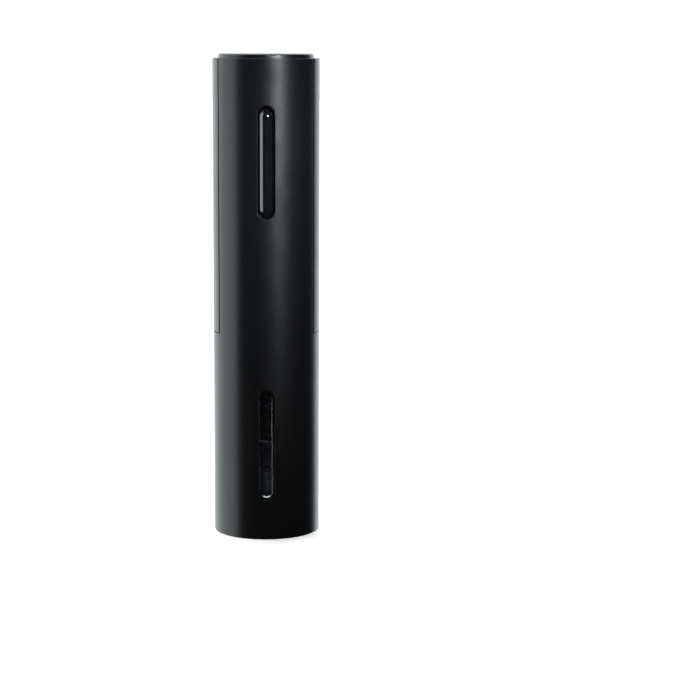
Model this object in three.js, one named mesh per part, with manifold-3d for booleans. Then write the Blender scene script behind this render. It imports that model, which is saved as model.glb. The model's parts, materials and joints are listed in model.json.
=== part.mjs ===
// Electric wine opener: a cordless cylinder that stands on its open lower end.
//
// Millimetres, +Z up, origin at the centre of the bottom rim. The front, with the rocker button and the
// window, faces -Y. From the bottom up it holds the bottle and cork guide with the worm in it, a two-stage
// planetary gearbox, the motor, and four AA cells under a twist-off cap.
import * as THREE from 'three';
import { mergeVertices } from 'three/addons/utils/BufferGeometryUtils.js';
import Module from 'manifold-3d';

const wasm = await Module();
wasm.setup();

// ---------------------------------------------------------------- driving dimensions

const GAP = 0.3; // between two fixed pieces that touch

const BODY = { r: 25, wall: 2, top: 223.9, chamfer: 0.4, barrelTop: 96, seamAngle: 62, seamGap: 0.4 };
BODY.bore = BODY.r - BODY.wall;

const CAP = { r: 22.3, top: 226, bottom: 222.6, edge: 0.8, underside: 223.2, bossR: 4 };
CAP.skirt = { inner: 19.2, outer: 20.6, bottom: 217.5 };
const BAYONET = { lugs: 3, lugR: 21.7, lugBottom: 217.8, lugTop: 219.4, lugHalf: 9, twist: 25, play: 3 };
const SWIVEL = { headR: 2.4, headTop: 219, headThick: 1.3, shankR: 1.2, top: 224 };
const PLATE = { r: 18.8, bottom: 219.3, top: 221 };

const BUTTON = { slotWidth: 7.9, slotLength: 51.8, z: 176.8, gap: 0.88, endGap: 1.9, crownR: 26.1 };
BUTTON.flange = { width: 9.6, over: 1.3, front: -21.2, back: -20.3 };
const PIVOT = { y: -19.3, r: 0.75, halfLength: 7.6 };
PIVOT.lug = { inner: 5.3, outer: 7.3, front: -23.2, back: -18, half: 2 };
const SWITCH = { offset: 19, half: 3, front: -19.2, pocket: 1.8 };
SWITCH.plunger = { r: 0.8, tip: -20, end: -18.4 };
const BOARD = { halfWidth: 5.5, front: -15.6, back: -14.4, bottom: 144.5, top: 209.2 };
BOARD.post = { past: 4.4, r: 1.6, pinR: 0.8, holeR: 1 };

const WINDOW = { width: 7.4, bottom: 19.3, top: 71, lensR: 24.7, clearance: 0.3 };
WINDOW.flange = { over: 1.8, thick: 1.2 };

const GUIDE = { bottleR: 16.5, corkR: 13, throatR: 8, wall: 1.8 };
Object.assign( GUIDE, { bottom: 0.6, footTop: 3, shoulder: 46.5, corkBottom: 49, top: 94 } );
GUIDE.ribs = { count: 4, deep: 0.9, width: 0.8 };
const SEAT = { rIn: 13.6, rOut: 16.2, bottom: 44.4, top: 46.2 };

const WORM = { tip: 24, top: 87, helixTop: 80, wireR: 1.5, helixR: 3.1, pitch: 9, point: 5 };
const CHUCK = { top: 93.4, bottom: 82.6, r: 6.2, tipR: 3.4, taper: 4.5, seat: 88 };

// Both planetary stages share one ring gear, so they share the module and the tooth counts.
const GEAR = { module: 0.6, sun: 10, planet: 20, ring: 50, pressure: 25 };
Object.assign( GEAR, { addendum: 0.8, dedendum: 1.15, slack: 0.16 } );
GEAR.centre = (GEAR.module * (GEAR.sun + GEAR.planet)) / 2;
const STAGES = [
	{ name: 'one', material: 'acetal', planets: [117.6, 121.8], plate: [115.7, 117.2], pinR: 1, plateR: 12 },
	{ name: 'two', material: 'steel', planets: [110.2, 115.3], plate: [106.7, 109.8], pinR: 1.3, plateR: 12.6 },
];
const PLANET_ANGLES = [0, 120, 240];
const GEARBOX = { r: 18.5, bottom: 94.6, wallTop: 105.6, top: 122.2, bushR: 6, shaftR: 4, washerR: 9 };
const CLIP = { grooveR: 3.1, r: 6.6, opening: 4, bottom: 93.7, top: 94.3 };

const MOTOR = { r: 13.85, wall: 0.95, bottom: 125, top: 154, bossR: 4.8, bossBottom: 123.6 };
MOTOR.shaft = { r: 1.15, bottom: 118, top: 157.8, clearance: 0.25 };
MOTOR.screw = { offset: 8, headR: 2.2, headThick: 1, shankR: 1.15, reach: 2.2, holeR: 1.35 };
const ARMATURE = { hubR: 4, commutatorR: 3, top: 153.4 };
ARMATURE.core = { r: 11.2, half: 46, bottom: 132, top: 148 };
ARMATURE.winding = { r: 9.8, half: 42, bottom: 129.5, top: 150.5 };
const BELL = { plugR: 12.6, plugIn: 11.4, bottom: 151.5, seat: 154.2, top: 157, bossR: 4, bossTop: 158.4 };
BELL.tab = { x: 8.5, half: 1.2, thick: 0.6, rise: 3 };

const CELL = { r: 7.1, pitch: 14.6, offsetY: 3.2, length: 49.2, nub: 1.3, nubR: 2.7 };
const CAGE = { bore: 17.6, wall: 1.2, bottom: 162, floor: 163.6, top: 214, finEnd: 22, finHalf: 0.8 };
const CONTACT = { thick: 0.4, lower: 163.9, upper: 218.6, r: 4.4, bridgeHalf: 3 };
const TAB = { y: -9.6, half: 1.1, bottom: 159.4 };
const SPRING = { wireR: 0.35, seatR: 3.5, tipR: 2.3, turns: 2.5, height: 3 };
const CELLS = [
	{ x: -1, y: -1, plusUp: false },
	{ x: -1, y: 1, plusUp: true },
	{ x: 1, y: 1, plusUp: false },
	{ x: 1, y: -1, plusUp: true },
];

const SCREW = { x: 17, heights: [133, 155], seat: 4.2, shankR: 1.1, shankEnd: -8.5 };
Object.assign( SCREW, { headR: 1.9, headThick: 1.6 } );
SCREW.rearBoss = { r: 2.9, back: 16.5, holeR: 1.3 };
SCREW.frontPost = { r: 2.4, front: -15.6, holeR: 1.2, holeEnd: -9 };
SCREW.cross = { long: 1.2, short: 0.3, deep: 0.7 };
const TONGUE = { inner: 21.7, drop: 1.6, rise: 4, half: 60 };
const WIRE = { r: 0.5 };

const MATERIALS = {
	shell: { color: 0x131418, roughness: 0.34, metalness: 0 },
	gloss: { color: 0x08090b, roughness: 0.08, metalness: 0 },
	clear: { color: 0xdfe4e6, roughness: 0.04, metalness: 0, transparent: true, opacity: 0.35 },
	rubber: { color: 0x1a1a1a, roughness: 0.85, metalness: 0 },
	acetal: { color: 0xd9d6cb, roughness: 0.5, metalness: 0 },
	nylon: { color: 0x2c2d30, roughness: 0.6, metalness: 0 },
	steel: { color: 0xb6b8bb, roughness: 0.28, metalness: 1 },
	worm: { color: 0x9a9ca0, roughness: 0.2, metalness: 1 },
	zinc: { color: 0xa9abad, roughness: 0.4, metalness: 1 },
	bronze: { color: 0x9c6b3c, roughness: 0.5, metalness: 1 },
	nickel: { color: 0xc6c2b6, roughness: 0.3, metalness: 1 },
	copper: { color: 0xa65a35, roughness: 0.45, metalness: 1 },
	cell: { color: 0x3c4046, roughness: 0.35, metalness: 0.2 },
	board: { color: 0x1d5b36, roughness: 0.5, metalness: 0 },
	redWire: { color: 0xa3201c, roughness: 0.5, metalness: 0 },
	blackWire: { color: 0x161616, roughness: 0.5, metalness: 0 },
};

// ---------------------------------------------------------------- making and cutting solids

const radians = THREE.MathUtils.degToRad;

// A three.js geometry as a manifold solid.
function solid( geometry ) {

	const bare = geometry.clone();
	bare.deleteAttribute( 'normal' );
	bare.deleteAttribute( 'uv' );
	const merged = mergeVertices( bare, 1e-4 );
	return new wasm.Manifold( new wasm.Mesh( {
		numProp: 3,
		vertProperties: merged.getAttribute( 'position' ).array,
		triVerts: new Uint32Array( merged.index.array ),
	} ) );

}

const join = ( first, ...others ) => others.reduce( ( whole, piece ) => whole.add( piece ), first );
const cut = ( first, ...others ) => others.reduce( ( whole, piece ) => whole.subtract( piece ), first );

// A closed outline of [radius, height] corners, turned about the Z axis. The outline runs anticlockwise.
function turned( outline, segments = 32 ) {

	const points = [ ...outline, outline[ 0 ] ].map( ( [ r, z ] ) => new THREE.Vector2( r, z ) );
	return solid( new THREE.LatheGeometry( points, segments ).rotateX( Math.PI / 2 ) );

}

const ring = ( inner, outer, bottom, top, segments ) =>
	turned( [ [ inner, bottom ], [ outer, bottom ], [ outer, top ], [ inner, top ] ], segments );

// A round bar along Z.
function rod( r, bottom, top, x = 0, y = 0, segments = 20 ) {

	const bar = new THREE.CylinderGeometry( r, r, top - bottom, segments ).rotateX( Math.PI / 2 );
	return solid( bar.translate( x, y, ( top + bottom ) / 2 ) );

}

// A round bar along Y, from the front end to the back end.
function rodY( r, front, back, x, z, segments = 16 ) {

	const bar = new THREE.CylinderGeometry( r, r, back - front, segments );
	return solid( bar.translate( x, ( front + back ) / 2, z ) );

}

function block( [ x0, x1 ], [ y0, y1 ], [ z0, z1 ] ) {

	const box = new THREE.BoxGeometry( x1 - x0, y1 - y0, z1 - z0 );
	return solid( box.translate( ( x0 + x1 ) / 2, ( y0 + y1 ) / 2, ( z0 + z1 ) / 2 ) );

}

// A flat shape in XY, raised from one height to another.
function raised( shape, bottom, top, curveSegments = 8 ) {

	const settings = { depth: top - bottom, bevelEnabled: false, curveSegments };
	return solid( new THREE.ExtrudeGeometry( shape, settings ).translate( 0, 0, bottom ) );

}

// An upright slot shape, seen from the front, that runs from the front face to the back face.
function uprightSlot( width, length, z, front, back ) {

	const r = width / 2;
	const straight = length / 2 - r;
	const shape = new THREE.Shape();
	shape.absarc( 0, straight, r, 0, Math.PI );
	shape.absarc( 0, - straight, r, Math.PI, 2 * Math.PI );
	const settings = { depth: back - front, bevelEnabled: false, curveSegments: 5 };
	const bar = new THREE.ExtrudeGeometry( shape, settings ).rotateX( Math.PI / 2 );
	return solid( bar.translate( 0, back, z ) );

}

// Part of a ring, centred on an angle in degrees that is counted from the front, anticlockwise from above.
// Each arc has two faces for each step.
function ringPart( inner, outer, bottom, top, angle, halfAngle, steps = 2 ) {

	const shape = new THREE.Shape();
	const from = radians( angle - 90 - halfAngle );
	const to = radians( angle - 90 + halfAngle );
	shape.absarc( 0, 0, outer, from, to );
	shape.absarc( 0, 0, inner, to, from, true );
	return raised( shape, bottom, top, steps );

}

// A wire along a curve.
function wire( curve, r, steps, sides = 8 ) {

	const section = new THREE.Shape();
	section.absarc( 0, 0, r, 0, 2 * Math.PI );
	const settings = { steps, extrudePath: curve, bevelEnabled: false, curveSegments: sides / 2 };
	return solid( new THREE.ExtrudeGeometry( section, settings ) );

}

// A helix that goes down from the top as t goes from 0 to 1. radiusAt( t ) gives its radius.
class Helix extends THREE.Curve {

	constructor( top, bottom, turns, radiusAt, x = 0, y = 0 ) {

		super();
		Object.assign( this, { top, bottom, turns, radiusAt, x, y } );

	}

	getPoint( t, target = new THREE.Vector3() ) {

		const angle = 2 * Math.PI * this.turns * t;
		const r = this.radiusAt( t );
		return target.set(
			this.x + r * Math.cos( angle ),
			this.y - r * Math.sin( angle ),
			THREE.MathUtils.lerp( this.top, this.bottom, t ),
		);

	}

}

// ---------------------------------------------------------------- the scene graph

const opener = new THREE.Group();

function add( name, material, made, group = opener ) {

	const mesh = made.getMesh();
	const geometry = new THREE.BufferGeometry();
	geometry.setAttribute( 'position', new THREE.BufferAttribute( mesh.vertProperties, 3 ) );
	geometry.setIndex( new THREE.BufferAttribute( mesh.triVerts, 1 ) );
	const look = new THREE.MeshStandardMaterial( { ...MATERIALS[ material ], flatShading: true } );
	const piece = new THREE.Mesh( geometry, look );
	piece.name = name;
	group.add( piece );
	return piece;

}

// ---------------------------------------------------------------- housing

const SHELL_SEGMENTS = 32;

// The whole outer tube, with a rim at the top that narrows to the cap.
function bodyTube( bottom ) {

	const { r, bore, top, chamfer } = BODY;
	const rim = CAP.r + GAP;
	const rimThickness = 1.6;
	return turned( [
		[ bore, bottom ], [ r - chamfer, bottom ], [ r, bottom + chamfer ], [ r, top - chamfer ],
		[ r - chamfer, top ], [ rim, top ], [ rim, top - rimThickness ], [ bore, top - rimThickness ],
	], SHELL_SEGMENTS );

}

// Everything in front of the two seams, for the height above the barrel.
function frontWedge( bottom, shift = 0 ) {

	const reach = 60;
	const side = reach * Math.sin( radians( BODY.seamAngle ) );
	const front = - reach * Math.cos( radians( BODY.seamAngle ) );
	const shape = new THREE.Shape( [
		new THREE.Vector2( 0, 0 ), new THREE.Vector2( - side, front ), new THREE.Vector2( - side, - reach ),
		new THREE.Vector2( side, - reach ), new THREE.Vector2( side, front ),
	] );
	return raised( shape, bottom, BODY.top + 10 ).translate( [ 0, shift, 0 ] );

}

// Ribs that hold the gear housing and the motor between the two shells. Each runs into the wall.
const CRADLES = [ { r: GEARBOX.r + GAP, z: 112 }, { r: MOTOR.r + GAP, z: 140 } ];
const CRADLE_THICKNESS = 2;
const INTO_WALL = BODY.bore + 0.5;

function cradles( angle, half, steps ) {

	return CRADLES.map( ( { r, z } ) => ringPart( r, INTO_WALL, z, z + CRADLE_THICKNESS, angle, half, steps ) );

}

// Where the four cover screws stand, as [x, z].
const screwAxes = [ - 1, 1 ].flatMap( ( side ) => SCREW.heights.map( ( z ) => [ side * SCREW.x, z ] ) );

// Two lugs beside the slot that carry the rocker's pivot pin.
function pivotLugs() {

	const { inner, outer, front, back, half } = PIVOT.lug;
	const across = [ [ - outer, - inner ], [ inner, outer ] ];
	return across.map( ( x ) => cut(
		block( x, [ front, back ], [ BUTTON.z - half, BUTTON.z + half ] ),
		acrossBar( PIVOT.r + 0.1, outer + 1 ),
	) );

}

// A stepped post above and below the button: the board stops at its shoulder, and a pin goes through the board.
function boardPosts() {

	const { r, pinR } = BOARD.post;
	const wallEnd = - BODY.bore - 0.6;
	return boardPostHeights().map( ( z ) => join(
		rodY( r, wallEnd, BOARD.front - 0.1, 0, z, 12 ),
		rodY( pinR, wallEnd, BOARD.back + 0.2, 0, z, 12 ),
	) );

}

function frontShell() {

	const barrel = bodyTube( 0 ).intersect( rod( 2 * BODY.r, - 1, BODY.barrelTop ) );
	const upper = bodyTube( BODY.barrelTop - 10 ).intersect( frontWedge( BODY.barrelTop - 1 ) );
	const { r, front, holeR, holeEnd } = SCREW.frontPost;
	const screwPosts = screwAxes.map( ( [ x, z ] ) => cut(
		rodY( r, front, 0, x, z ),
		rodY( holeR, holeEnd, 1, x, z, 12 ),
	) );
	return cut(
		join( barrel, upper, ...cradles( 0, 56, 4 ), ...screwPosts, ...pivotLugs(), ...boardPosts() ),
		uprightSlot( BUTTON.slotWidth, BUTTON.slotLength, BUTTON.z, - 2 * BODY.r, - 21 ),
		uprightSlot( WINDOW.width, WINDOW.top - WINDOW.bottom, windowMiddle(), - 2 * BODY.r, - 20 ),
	);

}

// The rear cover, with a tongue that goes down inside the barrel's top edge.
function rearCover() {

	const bottom = BODY.barrelTop + GAP;
	const { inner, drop, rise, half } = TONGUE;
	const tongue = ringPart( inner, BODY.bore - GAP, BODY.barrelTop - drop, bottom + rise, 180, half, 6 );
	const tongueLink = ringPart( inner, INTO_WALL, bottom, bottom + rise, 180, half, 6 );
	const { r, back, holeR } = SCREW.rearBoss;
	const insideWall = rod( INTO_WALL, bottom, BODY.top, 0, 0, SHELL_SEGMENTS );
	const bosses = screwAxes.map( ( [ x, z ] ) => rodY( r, GAP, back, x, z ).intersect( insideWall ) );
	const holes = screwAxes.flatMap( ( [ x, z ] ) => [
		rodY( SCREW.headR + 0.3, SCREW.seat, 2 * BODY.r, x, z ),
		rodY( holeR, - 1, 2 * BODY.r, x, z, 16 ),
	] );
	const tube = cut( bodyTube( bottom ), frontWedge( bottom - 1, BODY.seamGap ) );
	return cut( join( tube, tongue, tongueLink, ...cradles( 180, 100, 7 ), ...bosses ), ...holes );

}

// A pan-head screw along Y whose head faces the back, with a cross recess.
function rearScrew( x, z ) {

	const seat = SCREW.seat + 0.1;
	const head = rodY( SCREW.headR, seat, seat + SCREW.headThick, x, z );
	const shank = rodY( SCREW.shankR, SCREW.shankEnd, seat + 0.5, x, z, 12 );
	const { long, short, deep } = SCREW.cross;
	const recess = [ seat + SCREW.headThick - deep, seat + SCREW.headThick + 1 ];
	const arms = [ [ long, short ], [ short, long ] ].map( ( [ dx, dz ] ) =>
		block( [ x - dx, x + dx ], recess, [ z - dz, z + dz ] ) );
	return cut( join( head, shank ), ...arms );

}

add( 'front_shell', 'shell', frontShell() );
add( 'rear_cover', 'shell', rearCover() );
for ( const [ side, x ] of [ [ 'left', - SCREW.x ], [ 'right', SCREW.x ] ] )
	for ( const [ level, z ] of [ [ 'lower', SCREW.heights[ 0 ] ], [ 'upper', SCREW.heights[ 1 ] ] ] )
		add( `cover_screw_${ level }_${ side }`, 'steel', rearScrew( x, z ) );

// ---------------------------------------------------------------- window, bottle guide and lip seat

function windowMiddle() {

	return ( WINDOW.top + WINDOW.bottom ) / 2;

}

// A clear insert that fills the window from inside, with a flange behind the wall.
function windowLens() {

	const { bottom, top, width, lensR, clearance, flange } = WINDOW;
	const slotWiderBy = ( more ) =>
		uprightSlot( width + more, top - bottom + more, windowMiddle(), - 2 * BODY.r, - 15 );
	const flangeR = BODY.bore - GAP;
	const back = flangeR - flange.thick;
	return join(
		slotWiderBy( - clearance ).intersect( ring( back, lensR, 0, 100, SHELL_SEGMENTS ) ),
		slotWiderBy( 2 * flange.over ).intersect( ring( back, flangeR, 0, 100, SHELL_SEGMENTS ) ),
	);

}

// The clear sleeve: a wide bore for the bottle's neck, a shoulder that stops the bottle, and a narrow bore
// above with ribs that keep the cork from turning.
function bottleGuide() {

	const { bottleR, corkR, throatR, wall, bottom, footTop, shoulder, corkBottom, top, ribs } = GUIDE;
	const flangeR = BODY.bore - GAP;
	const headBottom = top - 2.5;
	const sleeve = turned( [
		[ bottleR + 1, bottom ], [ flangeR, bottom ], [ flangeR, footTop ],
		[ bottleR + wall, footTop ], [ bottleR + wall, corkBottom ], [ corkR + wall, corkBottom + 1 ],
		[ corkR + wall, headBottom ], [ flangeR, headBottom ], [ flangeR, top ],
		[ throatR, top ], [ throatR, headBottom + 1 ], [ corkR, headBottom ],
		[ corkR, shoulder ], [ bottleR, shoulder ], [ bottleR, footTop - 1 ],
	], 32 );
	const corkRibs = Array.from( { length: ribs.count }, ( _, i ) => {

		const across = [ - ribs.width / 2, ribs.width / 2 ];
		const rib = block( [ corkR - ribs.deep, corkR + 0.5 ], across, [ shoulder + 2, headBottom - 0.5 ] );
		return rib.rotate( [ 0, 0, ( i + 0.5 ) * ( 360 / ribs.count ) ] );

	} );
	return join( sleeve, ...corkRibs );

}

add( 'window_lens', 'clear', windowLens() );
add( 'bottle_guide', 'clear', bottleGuide() );
add( 'lip_seat_ring', 'rubber', ring( SEAT.rIn, SEAT.rOut, SEAT.bottom, SEAT.top, 32 ) );

// ---------------------------------------------------------------- cap, collar and contact plate

const lugAngles = Array.from( { length: BAYONET.lugs }, ( _, i ) => 60 + ( i * 360 ) / BAYONET.lugs );

function batteryCap() {

	const { r, top, bottom, edge, underside, bossR, skirt } = CAP;
	const bossBottom = PLATE.top + 0.2;
	const disc = turned( [
		[ 0, bossBottom ], [ bossR, bossBottom ], [ bossR, underside ], [ skirt.inner, underside ],
		[ skirt.inner, skirt.bottom ], [ skirt.outer, skirt.bottom ], [ skirt.outer, bottom ], [ r, bottom ],
		[ r, top - edge ], [ r - edge * 0.3, top - edge * 0.3 ], [ r - edge, top ], [ 0, top ],
	] );
	const { lugR, lugBottom, lugTop, lugHalf } = BAYONET;
	const lugs = lugAngles.map( ( angle ) =>
		ringPart( skirt.outer - 0.5, lugR, lugBottom, lugTop, angle, lugHalf ) );
	return cut( join( disc, ...lugs ), rod( SWIVEL.shankR + 0.1, 0, SWIVEL.top + 0.3, 0, 0, 16 ) );

}

// The fixed ring that the cap locks into: an open groove lets each lug down, and a channel leads it round
// clockwise from above.
function capCollar() {

	const { lugR, lugBottom, lugTop, lugHalf, twist, play } = BAYONET;
	const bottom = lugBottom - 1.3;
	const top = CAP.bottom - 0.4;
	const collar = ring( CAP.skirt.outer + 0.3, BODY.bore - GAP, bottom, top );
	const groove = ( grooveTop, angle, half, steps ) =>
		ringPart( CAP.skirt.outer, lugR + 0.3, lugBottom - 0.4, grooveTop, angle, half, steps );
	const grooves = lugAngles.flatMap( ( angle ) => [
		groove( top + 1, angle, lugHalf + play, 2 ),
		groove( lugTop + 0.4, angle - twist / 2, lugHalf + play + twist / 2, 4 ),
	] );
	return cut( collar, ...grooves );

}

function swivelScrew() {

	const { headR, headTop, headThick, shankR, top } = SWIVEL;
	return join( rod( headR, headTop - headThick, headTop ), rod( shankR, headTop - 0.5, top, 0, 0, 16 ) );

}

add( 'battery_cap', 'shell', batteryCap() );
add( 'cap_collar', 'nylon', capCollar() );
add( 'cap_swivel_screw', 'steel', swivelScrew() );
add( 'contact_plate', 'nylon', ring( SWIVEL.shankR + 0.3, PLATE.r, PLATE.bottom, PLATE.top, 32 ) );

// ---------------------------------------------------------------- cells, cage and contacts

const cellX = ( cell ) => ( cell.x * CELL.pitch ) / 2;
const cellY = ( cell ) => CELL.offsetY + ( cell.y * CELL.pitch ) / 2;
const FLOOR_TOP = CONTACT.lower + CONTACT.thick;

// A cell's nub rests on a contact, and its flat end rests on a spring.
function cell( { plusUp, ...place } ) {

	const { r, length, nub, nubR } = CELL;
	const edge = 0.5;
	const upright = turned( [
		[ 0, 0 ], [ r - edge, 0 ], [ r, edge ], [ r, length - edge ], [ r - edge, length ],
		[ nubR, length ], [ nubR, length + nub ], [ 0, length + nub ],
	], 16 );
	const total = length + nub;
	const bottom = plusUp ? FLOOR_TOP + SPRING.height + 0.5 : FLOOR_TOP + GAP;
	const turnedOver = plusUp ? upright : upright.rotate( [ 180, 0, 0 ] ).translate( [ 0, 0, total ] );
	return turnedOver.translate( [ cellX( place ), cellY( place ), bottom ] );

}

// A conical coil spring, wide at its seat. It stands on the floor contact, or hangs from the top one.
function batterySpring( place ) {

	const { wireR, seatR, tipR, turns, height } = SPRING;
	const bottom = place.plusUp ? FLOOR_TOP + 0.1 : CONTACT.upper - 0.1 - height;
	const wide = ( t ) => THREE.MathUtils.lerp( place.plusUp ? tipR : seatR, place.plusUp ? seatR : tipR, t );
	const coil = new Helix( bottom + height - wireR, bottom + wireR, turns, wide, cellX( place ), cellY( place ) );
	return wire( coil, wireR, Math.round( turns * 9 ), 4 );

}

function contactPad( place, bottom ) {

	return rod( CONTACT.r, bottom, bottom + CONTACT.thick, cellX( place ), cellY( place ), 16 );

}

// A plate that joins the ends of two neighbouring cells.
function contactBridge( first, second, bottom ) {

	const x = [ cellX( first ), cellX( second ) ].sort( ( a, b ) => a - b );
	const y = [ cellY( first ), cellY( second ) ].sort( ( a, b ) => a - b );
	const half = CONTACT.bridgeHalf;
	const strip = block(
		x[ 0 ] === x[ 1 ] ? [ x[ 0 ] - half, x[ 0 ] + half ] : x,
		y[ 0 ] === y[ 1 ] ? [ y[ 0 ] - half, y[ 0 ] + half ] : y,
		[ bottom, bottom + CONTACT.thick ],
	);
	return join( strip, contactPad( first, bottom ), contactPad( second, bottom ) );

}

// An end contact with a solder tab that goes down through the floor of the cage.
function terminal( place ) {

	const x = cellX( place );
	const { lower, thick } = CONTACT;
	return join(
		contactPad( place, lower ),
		block( [ x - TAB.half, x + TAB.half ], [ TAB.y, cellY( place ) ], [ lower, lower + thick ] ),
		block( [ x - TAB.half, x + TAB.half ], [ TAB.y, TAB.y + thick ], [ TAB.bottom, lower + thick ] ),
	);

}

// An open-fronted tube round the four cells, with a floor and two side fins that fit between the shells.
function batteryCage() {

	const { bore, wall, bottom, floor, top, finEnd, finHalf } = CAGE;
	const tube = join( ring( bore, bore + wall, bottom, top, 32 ), rod( bore + 0.5, bottom, floor, 0, 0, 32 ) );
	const slotHalf = 6.1;
	const frontSlot = block( [ - slotHalf, slotHalf ], [ - 30, - 8 ], [ bottom - 1, top + 1 ] );
	const fins = [ - 1, 1 ].map( ( side ) => block(
		side < 0 ? [ - finEnd, - bore - 0.5 ] : [ bore + 0.5, finEnd ], [ - finHalf, finHalf ], [ bottom, top ],
	) );
	const holeHalf = TAB.half + GAP;
	const holeDepth = [ TAB.y - GAP, TAB.y + CONTACT.thick + GAP ];
	const tabHoles = [ CELLS[ 0 ], CELLS[ 3 ] ].map( ( place ) => block(
		[ cellX( place ) - holeHalf, cellX( place ) + holeHalf ], holeDepth, [ bottom - 1, floor + 1 ],
	).translate( [ 0, - CELL.offsetY, 0 ] ) );
	return cut( join( tube, ...fins ), frontSlot, ...tabHoles ).translate( [ 0, CELL.offsetY, 0 ] );

}

add( 'battery_cage', 'nylon', batteryCage() );
CELLS.forEach( ( place, i ) => {

	add( `battery_cell_${ i + 1 }`, 'cell', cell( place ) );
	add( `battery_spring_${ i + 1 }`, 'nickel', batterySpring( place ) );

} );
add( 'top_contact_left', 'nickel', contactBridge( CELLS[ 0 ], CELLS[ 1 ], CONTACT.upper ) );
add( 'top_contact_right', 'nickel', contactBridge( CELLS[ 3 ], CELLS[ 2 ], CONTACT.upper ) );
add( 'bottom_contact', 'nickel', contactBridge( CELLS[ 1 ], CELLS[ 2 ], CONTACT.lower ) );
add( 'terminal_positive', 'nickel', terminal( CELLS[ 0 ] ) );
add( 'terminal_negative', 'nickel', terminal( CELLS[ 3 ] ) );

// ---------------------------------------------------------------- button, switches and board

function boardPostHeights() {

	const reach = BUTTON.slotLength / 2 + BOARD.post.past;
	return [ BUTTON.z - reach, BUTTON.z + reach ];

}

// A bar along X through the rocker's pivot.
function acrossBar( r, half, segments = 16 ) {

	const bar = new THREE.CylinderGeometry( r, r, 2 * half, segments ).rotateZ( Math.PI / 2 );
	return solid( bar.translate( 0, PIVOT.y, BUTTON.z ) );

}

// The rocker: a long crown that stands proud of the slot, a flange that keeps it in, a pivot block and a nub
// over each switch.
function rockerButton() {

	const { slotWidth, slotLength, z, gap, endGap, crownR, flange } = BUTTON;
	const width = slotWidth - 2 * gap;
	const crown = uprightSlot( width, slotLength - 2 * endGap, z, - 2 * BODY.r, flange.front + 0.2 );
	const skirt = uprightSlot( flange.width, slotLength + 2 * flange.over, z, flange.front, flange.back );
	const pivotBlock = block( [ - 3, 3 ], [ flange.back - 0.2, PIVOT.y + 1.3 ], [ z - 2, z + 2 ] );
	const nubs = [ - 1, 1 ].map( ( side ) =>
		rodY( 1.4, flange.back - 0.2, SWITCH.plunger.tip - 0.1, 0, z + side * SWITCH.offset, 16 )
			.intersect( block( [ - 2, 2 ], [ flange.back - 0.2, 0 ], [ 0, 300 ] ) ) );
	return cut(
		join( crown.intersect( rod( crownR, z - 40, z + 40, 0, 0, SHELL_SEGMENTS ) ), skirt, pivotBlock, ...nubs ),
		acrossBar( PIVOT.r + 0.15, PIVOT.halfLength + 1 ),
	);

}

function switchBody( z ) {

	const { half, front, pocket, plunger } = SWITCH;
	return cut(
		block( [ - half, half ], [ front, BOARD.front - 0.1 ], [ z - half, z + half ] ),
		rodY( plunger.r + 0.2, front - 1, front + pocket, 0, z, 16 ),
	);

}

const switchPlunger = ( z ) => rodY( SWITCH.plunger.r, SWITCH.plunger.tip, SWITCH.plunger.end, 0, z, 16 );

function switchBoard() {

	const { halfWidth, front, back, bottom, top } = BOARD;
	return cut(
		block( [ - halfWidth, halfWidth ], [ front, back ], [ bottom, top ] ),
		...boardPostHeights().map( ( z ) => rodY( BOARD.post.holeR, front - 1, back + 1, 0, z, 12 ) ),
	);

}

add( 'rocker_button', 'gloss', rockerButton() );
add( 'button_pivot_pin', 'steel', acrossBar( PIVOT.r, PIVOT.halfLength ) );
add( 'switch_board', 'board', switchBoard() );
for ( const [ level, side ] of [ [ 'lower', - 1 ], [ 'upper', 1 ] ] ) {

	const z = BUTTON.z + side * SWITCH.offset;
	add( `switch_${ level }`, 'nylon', switchBody( z ) );
	add( `switch_plunger_${ level }`, 'acetal', switchPlunger( z ) );

}

// ---------------------------------------------------------------- motor

const SHAFT_HOLE = MOTOR.shaft.r + MOTOR.shaft.clearance;

function motorCan() {

	const { r, wall, bottom, top, bossR, bossBottom, screw } = MOTOR;
	const can = turned( [
		[ SHAFT_HOLE, bossBottom ], [ bossR, bossBottom ], [ bossR, bottom ], [ r, bottom ], [ r, top ],
		[ r - wall, top ], [ r - wall, bottom + 1 ], [ SHAFT_HOLE, bottom + 1 ],
	], 24 );
	const holes = [ - 1, 1 ].map( ( side ) =>
		rod( screw.holeR, bottom - 1, bottom + 2, side * screw.offset, 0, 12 ) );
	return cut( can, ...holes );

}

// The plastic end of the motor, with a tab on each side that the wires are soldered to.
function motorEndBell() {

	const { plugR, plugIn, bottom, seat, top, bossR, bossTop, tab } = BELL;
	const outside = MOTOR.r - 0.3;
	const bell = turned( [
		[ SHAFT_HOLE, seat ], [ plugIn, seat ], [ plugIn, bottom ], [ plugR, bottom ], [ plugR, seat ],
		[ outside, seat ], [ outside, top - 0.6 ], [ outside - 0.6, top ],
		[ bossR, top ], [ bossR, bossTop ], [ SHAFT_HOLE, bossTop ],
	], 24 );
	const tabs = [ - tab.x, tab.x ].map( ( x ) => block(
		[ x - tab.half, x + tab.half ], [ - tab.thick / 2, tab.thick / 2 ], [ top - 1, top + tab.rise ],
	) );
	return join( bell, ...tabs );

}

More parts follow.
